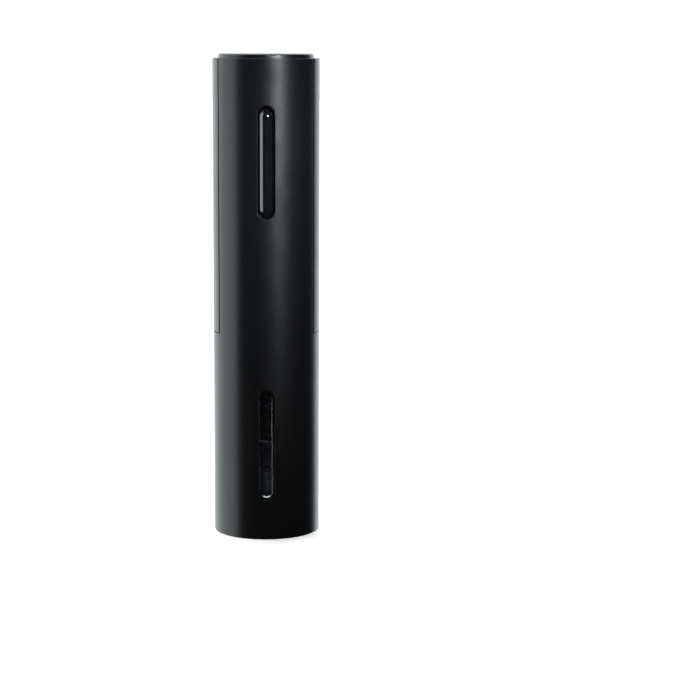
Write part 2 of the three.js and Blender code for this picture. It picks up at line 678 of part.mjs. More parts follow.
// Three wound poles on a hub, with the commutator at the top.
function armature() {

	const { core, winding, hubR, commutatorR, top } = ARMATURE;
	const poles = [ 0, 120, 240 ].flatMap( ( angle ) => [
		ringPart( winding.r - 1.5, core.r, core.bottom, core.top, angle, core.half, 4 ),
		ringPart( hubR - 1, winding.r, winding.bottom, winding.top, angle, winding.half, 3 ),
	] );
	const hub = rod( hubR, winding.bottom + 1, winding.top );
	const commutator = rod( commutatorR, winding.top - 1, top, 0, 0, 18 );
	const shaftHole = rod( MOTOR.shaft.r + 0.1, winding.bottom - 5, top + 5, 0, 0, 16 );
	return cut( join( hub, commutator, ...poles ), shaftHole );

}

function motorPlate() {

	const { r, top } = GEARBOX;
	const { offset, headR, holeR } = MOTOR.screw;
	const counterbores = [ - offset, offset ].flatMap( ( x ) => [
		rod( headR + 0.3, top, top + 1.5, x, 0, 16 ),
		rod( holeR + 0.05, top, MOTOR.bottom, x, 0, 12 ),
	] );
	return cut( ring( MOTOR.bossR + GAP, r, top + GAP, MOTOR.bottom - GAP, 28 ), ...counterbores );

}

function motorScrew( side ) {

	const { offset, headR, headThick, shankR, reach } = MOTOR.screw;
	const bottom = GEARBOX.top + 0.4;
	const x = side * offset;
	return join(
		rod( headR, bottom, bottom + headThick, x, 0, 16 ),
		rod( shankR, bottom, MOTOR.bottom + reach, x, 0, 12 ),
	);

}

add( 'motor_can', 'steel', motorCan() );
add( 'motor_end_bell', 'nylon', motorEndBell() );
add( 'armature', 'copper', armature() );
add( 'motor_shaft', 'steel', rod( MOTOR.shaft.r, MOTOR.shaft.bottom, MOTOR.shaft.top, 0, 0, 16 ) );
add( 'motor_plate', 'zinc', motorPlate() );
add( 'motor_screw_left', 'steel', motorScrew( - 1 ) );
add( 'motor_screw_right', 'steel', motorScrew( 1 ) );

// ---------------------------------------------------------------- gearbox

// A toothed outline with a tooth centred on the given angle, in radians. An inside gear's outline is the space
// inside it. Flanks are involutes, thinned by half the slack on each side.
function toothed( teeth, phase, inside = false ) {

	const { module, pressure, addendum, dedendum, slack } = GEAR;
	const pitchR = ( module * teeth ) / 2;
	const baseR = pitchR * Math.cos( radians( pressure ) );
	const rootR = pitchR - module * ( inside ? addendum : dedendum );
	const tipR = pitchR + module * ( inside ? dedendum : addendum );
	const involute = ( r ) => {

		const angle = Math.acos( Math.min( 1, baseR / r ) );
		return Math.tan( angle ) - angle;

	};

	const thin = ( inside ? 1 : - 1 ) * slack / 4;
	const halfAtPitch = ( Math.PI * module / 4 + thin ) / pitchR;
	const halfAt = ( r ) => halfAtPitch + involute( pitchR ) - involute( r );
	const radii = teeth === GEAR.sun ? [ rootR, ( baseR + pitchR ) / 2, tipR ] : [ rootR, tipR ];
	const points = [];
	for ( let i = 0; i < teeth; i ++ ) {

		const middle = phase + ( 2 * Math.PI * i ) / teeth;
		const flank = radii.map( ( r ) => [ r, halfAt( Math.max( r, baseR ) ) ] );
		for ( const [ r, half ] of flank ) points.push( [ r, middle - half ] );
		for ( const [ r, half ] of flank.reverse() ) points.push( [ r, middle + half ] );

	}

	const corners = points.map( ( [ r, a ] ) => new THREE.Vector2( r * Math.cos( a ), r * Math.sin( a ) ) );
	return new THREE.Shape( corners );

}

const toothPitch = ( teeth ) => ( 2 * Math.PI ) / teeth;

// The turn that puts a planet at this angle in mesh with a sun that has a tooth at angle 0.
function planetPhase( angle ) {

	const toothsPast = ( angle / toothPitch( GEAR.sun ) ) % 1;
	return angle + Math.PI - toothPitch( GEAR.planet ) * ( 0.5 - toothsPast );

}

function gearHousing() {

	const { r, bottom, wallTop, top, bushR } = GEARBOX;
	// The first planet has a tooth space towards the ring, so the ring has a tooth at angle 0.
	const teeth = raised( toothed( GEAR.ring, toothPitch( GEAR.ring ) / 2, true ), wallTop, top + 1 );
	return cut( rod( r, bottom, top, 0, 0, 28 ), teeth, rod( bushR + 0.1, bottom - 1, wallTop + 1, 0, 0, 20 ) );

}

function planetGear( stage, angle ) {

	const [ bottom, top ] = stage.planets;
	const at = radians( angle );
	const gear = cut(
		raised( toothed( GEAR.planet, planetPhase( at ) ), bottom, top ),
		rod( stage.pinR + 0.15, bottom - 1, top + 1, 0, 0, 12 ),
	);
	return gear.translate( [ GEAR.centre * Math.cos( at ), GEAR.centre * Math.sin( at ), 0 ] );

}

// A plate with a pin for each planet of its own stage.
function carrierPlate( { planets, plate, pinR, plateR } ) {

	const pins = PLANET_ANGLES.map( ( angle ) => {

		const x = GEAR.centre * Math.cos( radians( angle ) );
		const y = GEAR.centre * Math.sin( radians( angle ) );
		return rod( pinR, plate[ 0 ] + 0.5, planets[ 1 ] - 0.3, x, y, 12 );

	} );
	return join( rod( plateR, plate[ 0 ], plate[ 1 ], 0, 0, 24 ), ...pins );

}

function pinion() {

	const [ bottom, top ] = STAGES[ 0 ].planets;
	const teeth = raised( toothed( GEAR.sun, 0 ), bottom, top + 0.2 );
	return cut( teeth, rod( MOTOR.shaft.r + 0.1, bottom - 1, top + 1, 0, 0, 16 ) );

}

function stageOneCarrier() {

	const [ plateBottom ] = STAGES[ 0 ].plate;
	const sunBottom = STAGES[ 1 ].plate[ 1 ] + GAP;
	return join( carrierPlate( STAGES[ 0 ] ), raised( toothed( GEAR.sun, 0 ), sunBottom, plateBottom + 0.3 ) );

}

// The last carrier and the output shaft in one piece, with a groove for the retaining clip.
function outputCarrier() {

	const shaft = rod( GEARBOX.shaftR, CHUCK.seat, STAGES[ 1 ].plate[ 0 ] + 0.5, 0, 0, 24 );
	const groove = ring( CLIP.grooveR, CLIP.r + 2, CLIP.bottom - 0.1, CLIP.top + 0.1, 24 );
	return join( carrierPlate( STAGES[ 1 ] ), cut( shaft, groove ) );

}

function retainingClip() {

	const { grooveR, r, opening, bottom, top } = CLIP;
	const mouth = block( [ - opening / 2, opening / 2 ], [ - r - 1, 0 ], [ bottom - 1, top + 1 ] );
	return cut( ring( grooveR + 0.15, r, bottom, top, 24 ), mouth );

}

// The bearing for the output shaft, and the washer between its end and the carrier.
function outputBush() {

	const { shaftR, bushR, bottom, wallTop } = GEARBOX;
	return ring( shaftR + 0.08, bushR, bottom + 1, wallTop - 0.1, 20 );

}

function thrustWasher() {

	const { shaftR, washerR, wallTop } = GEARBOX;
	return ring( shaftR + GAP, washerR, wallTop + 0.2, STAGES[ 1 ].plate[ 0 ] - GAP, 20 );

}

add( 'gear_housing', 'acetal', gearHousing() );
add( 'pinion_gear', 'bronze', pinion() );
for ( const stage of STAGES )
	PLANET_ANGLES.forEach( ( angle, i ) =>
		add( `planet_${ stage.name }_${ i + 1 }`, stage.material, planetGear( stage, angle ) ) );
add( 'stage_one_carrier', 'zinc', stageOneCarrier() );
add( 'output_carrier', 'steel', outputCarrier() );
add( 'output_bush', 'bronze', outputBush() );
add( 'thrust_washer', 'steel', thrustWasher() );
add( 'retaining_clip', 'steel', retainingClip() );

// ---------------------------------------------------------------- worm

function wormChuck() {

	const { top, bottom, r, tipR, taper, seat } = CHUCK;
	const shaftHole = GEARBOX.shaftR + 0.1;
	const wormHole = WORM.wireR + 0.1;
	return turned( [
		[ wormHole, bottom ], [ tipR, bottom ], [ r, bottom + taper ], [ r, top ],
		[ shaftHole, top ], [ shaftHole, seat - 0.1 ], [ wormHole, seat - 0.1 ],
	], 24 );

}

// The helix leaves the shank on the axis, opens to its full radius in half a turn, and ends in a point.
function worm() {

	const { tip, top, helixTop, wireR, helixR, pitch, point } = WORM;
	const height = helixTop - tip - point * 0.3;
	const turns = height / pitch;
	const opening = 0.6 / turns;
	const radiusAt = ( t ) => helixR * THREE.MathUtils.smoothstep( t, 0, opening );
	const path = new Helix( helixTop, helixTop - height, turns, radiusAt );
	const end = path.getPoint( 1 );
	const direction = path.getTangent( 1 );
	const cone = new THREE.ConeGeometry( wireR, point, 6 ).translate( 0, point / 2, 0 );
	cone.applyQuaternion( new THREE.Quaternion().setFromUnitVectors( new THREE.Vector3( 0, 1, 0 ), direction ) );
	cone.translate( ...end.clone().addScaledVector( direction, - 0.2 ) );
	const stepsPerTurn = 11;
	return join(
		rod( wireR, helixTop - 0.6, top, 0, 0, 16 ),
		wire( path, wireR, Math.round( turns * stepsPerTurn ), 6 ),
		solid( cone ),
	);

}

add( 'worm_chuck', 'steel', wormChuck() );
add( 'worm', 'worm', worm() );

// ---------------------------------------------------------------- wires

// Between the motor and the cage, two wires run from the cage's terminals to the back of the switch board, and
// two run from there to the motor's tabs. Each pair is the same on both sides.
const BOARD_SIDE = BOARD.back + 0.4;
const BATTERY_ROUTE = [
	[ 7.3, TAB.y - 0.3, 160.6 ], [ 7, - 11.6, 160.6 ], [ 4.6, - 13, 160.5 ], [ 4, BOARD_SIDE, 160.5 ],
];
const MOTOR_ROUTE = [
	[ BELL.tab.x, - 0.6, 158.8 ], [ 9.8, - 4, 158.3 ], [ 9, - 8.6, 158.1 ], [ 5.4, - 11.8, 158.1 ],
	[ 2.4, - 13, 158.1 ], [ 2, BOARD_SIDE, 158.1 ],
];
const WIRE_ROUTES = [
	{ name: 'battery_wire_positive', material: 'redWire', side: - 1, points: BATTERY_ROUTE },
	{ name: 'battery_wire_negative', material: 'blackWire', side: 1, points: BATTERY_ROUTE },
	{ name: 'motor_wire_left', material: 'redWire', side: - 1, points: MOTOR_ROUTE },
	{ name: 'motor_wire_right', material: 'blackWire', side: 1, points: MOTOR_ROUTE },
];

for ( const { name, material, side, points } of WIRE_ROUTES ) {

	const along = points.map( ( [ x, y, z ] ) => new THREE.Vector3( side * x, y, z ) );
	add( name, material, wire( new THREE.CatmullRomCurve3( along ), WIRE.r, 12, 6 ) );

}

export default opener;
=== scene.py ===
# Electric wine opener: looks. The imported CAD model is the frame. Every one of its nodes is rebuilt here as a
# fine mesh with rounded edges and a procedural material. Lengths are in millimetres unless noted.
import json
import math

import bmesh
import bpy
import numpy as np
from mathutils import Matrix, Vector


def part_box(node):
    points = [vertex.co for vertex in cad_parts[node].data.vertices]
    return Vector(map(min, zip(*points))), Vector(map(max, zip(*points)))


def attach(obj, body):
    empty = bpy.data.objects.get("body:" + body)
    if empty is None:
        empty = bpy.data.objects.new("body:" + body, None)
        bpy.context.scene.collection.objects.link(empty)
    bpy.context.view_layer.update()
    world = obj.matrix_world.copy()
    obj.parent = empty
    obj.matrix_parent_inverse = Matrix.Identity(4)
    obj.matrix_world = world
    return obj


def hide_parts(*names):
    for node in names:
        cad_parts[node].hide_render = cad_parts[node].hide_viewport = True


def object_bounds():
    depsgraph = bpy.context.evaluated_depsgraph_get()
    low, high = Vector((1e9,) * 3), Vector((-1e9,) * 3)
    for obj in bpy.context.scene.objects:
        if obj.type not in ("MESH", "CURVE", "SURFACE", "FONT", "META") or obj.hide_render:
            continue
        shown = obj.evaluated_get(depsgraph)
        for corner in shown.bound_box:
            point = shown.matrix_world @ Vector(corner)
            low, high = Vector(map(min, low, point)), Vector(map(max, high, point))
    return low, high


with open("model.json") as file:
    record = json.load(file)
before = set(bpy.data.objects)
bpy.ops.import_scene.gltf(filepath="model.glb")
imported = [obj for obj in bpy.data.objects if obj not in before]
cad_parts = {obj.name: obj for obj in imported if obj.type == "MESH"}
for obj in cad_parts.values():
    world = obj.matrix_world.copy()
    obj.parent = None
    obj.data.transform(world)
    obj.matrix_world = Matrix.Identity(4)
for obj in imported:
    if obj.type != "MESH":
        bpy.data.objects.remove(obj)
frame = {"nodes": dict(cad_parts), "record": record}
cad_low, cad_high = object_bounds()

MM = 0.001
TURN = 2 * math.pi


# ------------ places, worked out from the frame

def low(node):
    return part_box(node)[0] / MM


def high(node):
    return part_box(node)[1] / MM


def middle(node):
    return (low(node) + high(node)) / 2


OUTER_R = high("front_shell").x            # the body's outer radius
WALL = 2.0
BORE_R = OUTER_R - WALL
TOP = high("front_shell").z                # the shells' top edge
SPLIT = low("rear_cover").z + 1.9          # where the rear cover's wall starts, above its tongue
SEAM_ANGLE = 60.9                          # where the front shell ends, in degrees from the front
CAP_R = high("battery_cap").x
CAP_TOP = high("battery_cap").z
RIM_GAP = 0.3                              # between the cap and the shells' rim
RIM_THICK = 1.6

SLOT_WIDTH = 7.9                           # the button's slot
SLOT_LENGTH = 51.8
BUTTON_Z = middle("button_pivot_pin").z
PIVOT_Y = middle("button_pivot_pin").y
BUTTON_BACK = 21.3                         # how far from the axis the crown meets its flange
SWITCH_REACH = 19                          # from the pivot up or down to each switch
POST_REACH = 30.3                          # from the pivot up or down to each of the board's posts
WINDOW_WIDTH = 7.4
WINDOW_LOW, WINDOW_HIGH = 19.3, 71.0
WINDOW_Z = (WINDOW_LOW + WINDOW_HIGH) / 2

SIDES = (-1, 1)
SCREW_NODES = [f"cover_screw_{level}_{side}" for level in ("lower", "upper") for side in ("left", "right")]
MOTOR_SCREW_X = 8
SLOT_OF = {row["node"]: row["material_slot"] for row in frame["record"]["subparts"]}
BODY_OF = {node: body for body, nodes in frame["record"]["behaviour"]["bodies"].items() for node in nodes}


def node_with(tree, kind, inputs, **settings):
    """A new shader node with its settings, and each input linked to a socket or set to a value."""
    node = tree.nodes.new(kind)
    for key, value in settings.items():
        setattr(node, key, value)
    for key, value in inputs.items():
        if isinstance(value, bpy.types.NodeSocket):
            tree.links.new(value, node.inputs[key])
        else:
            node.inputs[key].default_value = value
    return node


# ------------ camera, floor and light

def make_camera():
    """The photograph's view: slightly above the opener, a little to its left of centre."""
    distance, height = 0.96886, 0.23836
    yaw, pitch, roll = math.radians(2.347), math.radians(8.913), math.radians(0.264)
    forward = Vector((math.sin(yaw) * math.cos(pitch), math.cos(yaw) * math.cos(pitch), -math.sin(pitch)))
    level_right = Vector((math.cos(yaw), -math.sin(yaw), 0))
    level_up = level_right.cross(forward)
    right = level_right * math.cos(roll) + level_up * math.sin(roll)
    up = level_up * math.cos(roll) - level_right * math.sin(roll)
    data = bpy.data.cameras.new("camera")
    data.lens = 105.98
    data.sensor_width = 36.0
    data.clip_start = 0.01
    camera = bpy.data.objects.new("camera", data)
    bpy.context.scene.collection.objects.link(camera)
    camera.matrix_world = Matrix((
        (right.x, up.x, -forward.x, 0.0),
        (right.y, up.y, -forward.y, -distance),
        (right.z, up.z, -forward.z, height),
        (0.0, 0.0, 0.0, 1.0),
    ))
    bpy.context.scene.camera = camera


def make_floor():
    """A pale floor. Reflections and the window don't see it, because it would hide the studio's dark side."""
    mesh = bpy.data.meshes.new("studio_floor")
    build = bmesh.new()
    bmesh.ops.create_circle(build, cap_ends=True, segments=96, radius=6.0)
    build.to_mesh(mesh)
    build.free()
    floor = bpy.data.objects.new("studio_floor", mesh)
    bpy.context.scene.collection.objects.link(floor)
    floor.location.z = cad_low[2] - 0.0001
    floor.visible_glossy = False
    floor.visible_transmission = False
    material = bpy.data.materials.new("studio_floor")
    material.use_nodes = True
    looks = {"Base Color": (0.86, 0.86, 0.87, 1), "Roughness": 0.9, "Specular IOR Level": 0.1,
             "Emission Color": (1, 1, 1, 1), "Emission Strength": 0.55}
    for key, value in looks.items():
        material.node_tree.nodes["Principled BSDF"].inputs[key].default_value = value
    mesh.materials.append(material)


def soft_step(tree, value, start, end):
    inputs = {"Value": value, "From Min": start, "From Max": end}
    return node_with(tree, "ShaderNodeMapRange", inputs, interpolation_type="SMOOTHSTEP").outputs["Result"]


def height_mask(tree, direction, dark_below, bright_above):
    """0 where a direction points steeply down and 1 above that, by its elevation in degrees."""
    unit = node_with(tree, "ShaderNodeVectorMath", {0: direction}, operation="NORMALIZE")
    split = node_with(tree, "ShaderNodeSeparateXYZ", {0: unit.outputs[0]})
    start, end = (math.sin(math.radians(angle)) for angle in (dark_below, bright_above))
    return soft_step(tree, split.outputs["Z"], start, end)


def azimuth_mask(tree, direction, centre, half, soft):
    """1 where a direction's azimuth is within half of centre, in degrees rightwards from the front."""
    at = math.radians(centre)
    towards = (math.sin(at), -math.cos(at), 0.0)
    flat = node_with(tree, "ShaderNodeVectorMath", {0: direction, 1: (1, 1, 0)}, operation="MULTIPLY")
    unit = node_with(tree, "ShaderNodeVectorMath", {0: flat.outputs[0]}, operation="NORMALIZE")
    dot = node_with(tree, "ShaderNodeVectorMath", {0: unit.outputs[0], 1: towards}, operation="DOT_PRODUCT")
    start, end = (math.cos(math.radians(angle)) for angle in (half + soft, half - soft))
    return soft_step(tree, dot.outputs["Value"], start, end)


def make_world():
    """A white room whose front right is dark, so that the front of a black object stays black."""
    world = bpy.data.worlds.new("studio")
    bpy.context.scene.world = world
    world.use_nodes = True
    tree = world.node_tree
    tree.nodes.clear()
    direction = tree.nodes.new("ShaderNodeTexCoord").outputs["Generated"]
    shade = node_with(tree, "ShaderNodeMix", {
        "Factor": azimuth_mask(tree, direction, 31.5, 99.5, 3.0),
        "A": (1.72, 1.86, 1.90, 1), "B": (0.016, 0.018, 0.021, 1),
    }, data_type="RGBA")
    room = node_with(tree, "ShaderNodeBackground", {
        "Strength": height_mask(tree, direction, -50, -25), "Color": shade.outputs["Result"],
    })
    backdrop = node_with(tree, "ShaderNodeBackground", {"Color": (1, 1, 1, 1), "Strength": 1.05})
    path = tree.nodes.new("ShaderNodeLightPath")
    choose = node_with(tree, "ShaderNodeMixShader", {
        "Fac": path.outputs["Is Camera Ray"],
        1: room.outputs["Background"], 2: backdrop.outputs["Background"],
    })
    node_with(tree, "ShaderNodeOutputWorld", {"Surface": choose.outputs["Shader"]})


def lamp_at(name, kind, azimuth, elevation, distance, power, colour, target):
    """A lamp, placed by its direction from its target: azimuth from the front, positive to the right."""
    az, el = math.radians(azimuth), math.radians(elevation)
    offset = Vector((math.sin(az) * math.cos(el), -math.cos(az) * math.cos(el), math.sin(el))) * distance
    data = bpy.data.lights.new(name, kind)
    data.energy = power
    data.color = colour
    lamp = bpy.data.objects.new(name, data)
    bpy.context.scene.collection.objects.link(lamp)
    lamp.location = Vector(target) + offset
    lamp.rotation_euler = offset.to_track_quat("Z", "Y").to_euler()
    return data


def area_lamp(name, azimuth, elevation, distance, size, power, colour, target):
    data = lamp_at(name, "AREA", azimuth, elevation, distance, power, colour, target)
    data.shape = "RECTANGLE"
    data.size, data.size_y = size


def spot_lamp(name, azimuth, elevation, distance, radius, cone, power, colour, target):
    """A round soft lamp that lights only a cone, in degrees, about its target."""
    data = lamp_at(name, "SPOT", azimuth, elevation, distance, power, colour, target)
    data.shadow_soft_size = radius
    data.spot_size = math.radians(cone)
    data.spot_blend = 0.35


def make_light():
    """Three keys for the bright band on the upper body, and weaker lamps. Here lengths are in metres."""
    for azimuth in (22.5, 27.0, 31.5):
        spot_lamp("key", azimuth, 15, 2.0, 0.08, 5.0, 110.0, (0.88, 0.94, 1.0), (0, 0, 0.182))
    area_lamp("low_strip", 27, -2, 2.0, (0.26, 0.5), 0.05, (0.7, 0.85, 1.0), (0, 0, 0.1))
    spot_lamp("window_rim", 12, 52, 1.5, 0.12, 5.0, 60.0, (1, 1, 1), (0, 0, 0.045))
    area_lamp("ceiling", 180, 62, 1.6, (1.4, 1.4), 5.0, (1, 1, 1), (0, 0, 0.1))
    bpy.context.scene.view_settings.view_transform = "Standard"


# ------------ mesh building

def object_from(name, points, faces):
    """A new object, from points in millimetres and faces as lists of point numbers."""
    mesh = bpy.data.meshes.new(name)
    mesh.from_pydata([Vector(p) * MM for p in points], [], faces)
    mesh.validate()
    mesh.update()
    obj = bpy.data.objects.new(name, mesh)
    bpy.context.scene.collection.objects.link(obj)
    return obj


def face_outwards(obj):
    build = bmesh.new()
    build.from_mesh(obj.data)
    bmesh.ops.recalc_face_normals(build, faces=build.faces)
    build.to_mesh(obj.data)
    build.free()
    return obj


def arc(cx, cz, r, start, end, steps):
    """Points on an arc in a plane, from one angle to another in degrees."""
    angles = [math.radians(start + (end - start) * i / steps) for i in range(steps + 1)]
    return [(cx + r * math.cos(a), cz + r * math.sin(a)) for a in angles]


def rounded(profile, radius, steps=4):
    """A closed (radius, height) outline with every corner off the axis rounded."""
    made = []
    count = len(profile)
    for i, corner in enumerate(profile):
        here = np.array(corner, float)
        before = np.array(profile[i - 1], float) - here
        after = np.array(profile[(i + 1) % count], float) - here
        reach = min(radius, 0.45 * np.linalg.norm(before), 0.45 * np.linalg.norm(after))
        if corner[0] <= 1e-9 or reach < 1e-6:
            made.append(tuple(here))
            continue
        start = here + before / np.linalg.norm(before) * reach
        end = here + after / np.linalg.norm(after) * reach
        for k in range(steps + 1):
            t = k / steps
            made.append(tuple((1 - t) ** 2 * start + 2 * t * (1 - t) * here + t * t * end))
    return made


def lathe(name, profile, segments=128, centre=(0.0, 0.0)):
    """A closed (radius, height) outline turned about a vertical axis. Points on the axis become one point."""
    points, rows = [], []
    for r, z in profile:
        if r <= 1e-9:
            rows.append([len(points)] * segments)
            points.append((centre[0], centre[1], z))
            continue
        rows.append(list(range(len(points), len(points) + segments)))
        for i in range(segments):
            a = TURN * i / segments
            points.append((centre[0] + r * math.cos(a), centre[1] + r * math.sin(a), z))
    faces = []
    count = len(rows)
    for j in range(count):
        here, there = rows[j], rows[(j + 1) % count]
        if here[0] == here[1] and there[0] == there[1]:
            continue
        for i in range(segments):
            k = (i + 1) % segments
            corners = [here[i], here[k], there[k], there[i]]
            faces.append(list(dict.fromkeys(corners)))
    return face_outwards(object_from(name, points, faces))


def disc(name, r, z, edge, segments, centre=(0.0, 0.0)):
    """A disc or an upright rod between two heights, with rounded edges."""
    return lathe(name, rounded([(0, z[0]), (r, z[0]), (r, z[1]), (0, z[1])], edge), segments, centre)


def loft(name, rings):
    """Closed rings of points joined one to the next, with a cap on each end."""
    size = len(rings[0])
    points = [p for ring in rings for p in ring]
    faces = []
    for start in range(0, len(points) - size, size):
        for i in range(size):
            k = (i + 1) % size
            faces.append([start + i, start + k, start + size + k, start + size + i])
    faces.append(list(range(size))[::-1])
    faces.append(list(range(len(points) - size, len(points))))
    return face_outwards(object_from(name, points, faces))


def bar(name, r, start, end, segments=32):
    """A round bar between two points."""
    a, b = Vector(start), Vector(end)
    turn = (b - a).to_track_quat("Z", "Y")
    angles = [TURN * i / segments for i in range(segments)]
    spokes = [turn @ Vector((r * math.cos(angle), r * math.sin(angle), 0)) for angle in angles]
    return loft(name, [[tuple(centre + spoke) for spoke in spokes] for centre in (a, b)])


def prism(name, outline, z):
    """An upright prism between two heights."""
    return loft(name, [[(x, y, height) for x, y in outline] for height in z])


def block(name, x, y, z):
    return prism(name, [(x[0], y[0]), (x[1], y[0]), (x[1], y[1]), (x[0], y[1])], z)


def wedge(name, from_angle, to_angle, z, reach=60.0):
    """A solid sector between two angles, in degrees counted anticlockwise from the front."""
    steps = max(2, round(abs(to_angle - from_angle) / 15))
    return prism(name, [(0, 0), *arc(0, 0, reach, from_angle - 90, to_angle - 90, steps)], z)


def ring_part(name, inner, outer, z, centre, half, steps=24):
    """Part of a ring, in degrees counted anticlockwise from the front."""
    start, end = centre - half - 90, centre + half - 90
    return prism(name, arc(0, 0, outer, start, end, steps) + arc(0, 0, inner, end, start, steps), z)


def stadium(width, length, steps=20):
    """An upright slot shape about the origin, as (across, up) points."""
    r, straight = width / 2, length / 2 - width / 2
    angles = [math.pi * i / steps for i in range(steps + 1)]
    upper = [(r * math.cos(a), straight + r * math.sin(a)) for a in angles]
    return upper + [(-x, -y) for x, y in upper]


def dense(outline, spacing):
    """The same closed outline with extra points along its long straight stretches."""
    made = []
    for i, (x, y) in enumerate(outline):
        nx, ny = outline[(i + 1) % len(outline)]
        pieces = max(1, round(math.hypot(nx - x, ny - y) / spacing))
        made += [(x + (nx - x) * k / pieces, y + (ny - y) * k / pieces) for k in range(pieces)]
    return made


def wrapped_slot(name, width, length, z, profile):
    """A slot solid that follows the cylinder. Each profile entry is one ring: how far its outline has
    grown, and the radius at which it lies."""
    rings = []
    for grow, r in profile:
        outline = dense(stadium(width + 2 * grow, length + 2 * grow), 3.0)
        rings.append([(r * math.sin(x / OUTER_R), -r * math.cos(x / OUTER_R), z + up) for x, up in outline])
    return loft(name, rings)


def combine(obj, others, operation):
    """Joins or cuts solids, and removes the others."""
    for other in others:
        change = obj.modifiers.new("boolean", "BOOLEAN")
        change.object = other
        change.operation = operation
        change.solver = "MANIFOLD"
    graph = bpy.context.evaluated_depsgraph_get()
    made = bpy.data.meshes.new_from_object(obj.evaluated_get(graph))
    obj.modifiers.clear()
    old = obj.data
    obj.data = made
    bpy.data.meshes.remove(old)
    for other in others:
        mesh = other.data
        bpy.data.objects.remove(other)
        bpy.data.meshes.remove(mesh)
    return obj


def smooth(obj, angle=32.0):
    obj.data.polygons.foreach_set("use_smooth", [True] * len(obj.data.polygons))
    obj.data.set_sharp_from_angle(angle=math.radians(angle))
    return obj


def true_cylinder_normals(obj, radius):
    """Shades the faces on a cylinder about the Z axis with that cylinder's own normals."""
    mesh = obj.data
    normals = [Vector(n.vector) for n in mesh.corner_normals]
    for face in mesh.polygons:
        outward = Vector((face.center.x, face.center.y, 0)).normalized()
        if abs(face.normal.dot(outward)) < 0.75:
            continue
        for loop in face.loop_indices:
            at = mesh.vertices[mesh.loops[loop].vertex_index].co
            if abs(math.hypot(at.x, at.y) / MM - radius) < 0.01:
                side = 1 if face.normal.dot(outward) > 0 else -1
                normals[loop] = Vector((at.x, at.y, 0)).normalized() * side
    mesh.normals_split_custom_set(normals)
    return obj


def stands_for(obj, node, looks, angle=32.0):
    """Smooths a new piece, and gives it the name, material and body of the CAD node that it stands for."""
    obj.name = node + "_fine"
    smooth(obj, angle)
    obj.data.materials.clear()
    obj.data.materials.append(looks[SLOT_OF[node]])
    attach(obj, BODY_OF[node])
    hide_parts(node)
    return obj


# ------------ materials

class Look:
    """A Principled material and short ways to add texture to it. A noise's scale is in cells per metre."""

    def __init__(self, name, colour, roughness, metallic=0.0, **settings):
        self.material = bpy.data.materials.new(name)
        self.material.use_nodes = True
        self.tree = self.material.node_tree
        self.shader = self.tree.nodes["Principled BSDF"]
        self.shader.inputs["Base Color"].default_value = (*colour, 1)
        self.shader.inputs["Roughness"].default_value = roughness
        self.shader.inputs["Metallic"].default_value = metallic
        for key, value in settings.items():
            self.shader.inputs[key.replace("_", " ")].default_value = value
        self.colour = colour
        self.roughness = roughness
        self.place = self.tree.nodes.new("ShaderNodeTexCoord").outputs["Object"]

    def noise(self, scale, detail, stretch):
        mapping = node_with(self.tree, "ShaderNodeMapping", {"Vector": self.place, "Scale": stretch})
        inputs = {"Vector": mapping.outputs["Vector"], "Scale": scale, "Detail": detail}
        return node_with(self.tree, "ShaderNodeTexNoise", inputs).outputs["Fac"]

    def spread(self, value, low_value, high_value):
        """Widens the middle of a noise's range to the whole range between two values."""
        inputs = {"Value": value, "From Min": 0.3, "From Max": 0.7, "To Min": low_value, "To Max": high_value}
        return node_with(self.tree, "ShaderNodeMapRange", inputs).outputs["Result"]

    def vary_roughness(self, scale, amount, stretch=(1, 1, 1)):
        noise = self.noise(scale, 4.0, stretch)
        value = self.spread(noise, self.roughness - amount, self.roughness + amount)
        self.tree.links.new(value, self.shader.inputs["Roughness"])
        return self

    def vary_colour(self, scale, amount=0.0, other=None):
        """Mixes towards another colour, or a lighter one, by a noise."""
        other = other or tuple(min(1.0, c * (1 + amount) + 0.002) for c in self.colour)
        mix = node_with(self.tree, "ShaderNodeMix", {
            "A": (*self.colour, 1), "B": (*other, 1),
            "Factor": self.spread(self.noise(scale, 5.0, (1, 1, 1)), 0, 1),
        }, data_type="RGBA")
        self.tree.links.new(mix.outputs["Result"], self.shader.inputs["Base Color"])
        return self

    def grain(self, scale, depth, detail=2.0, stretch=(1, 1, 1)):
        """A fine bump of a real depth."""
        bump = node_with(self.tree, "ShaderNodeBump", {
            "Strength": 1.0, "Distance": depth * MM, "Height": self.noise(scale, detail, stretch),
        })
        self.tree.links.new(bump.outputs["Normal"], self.shader.inputs["Normal"])
        return self


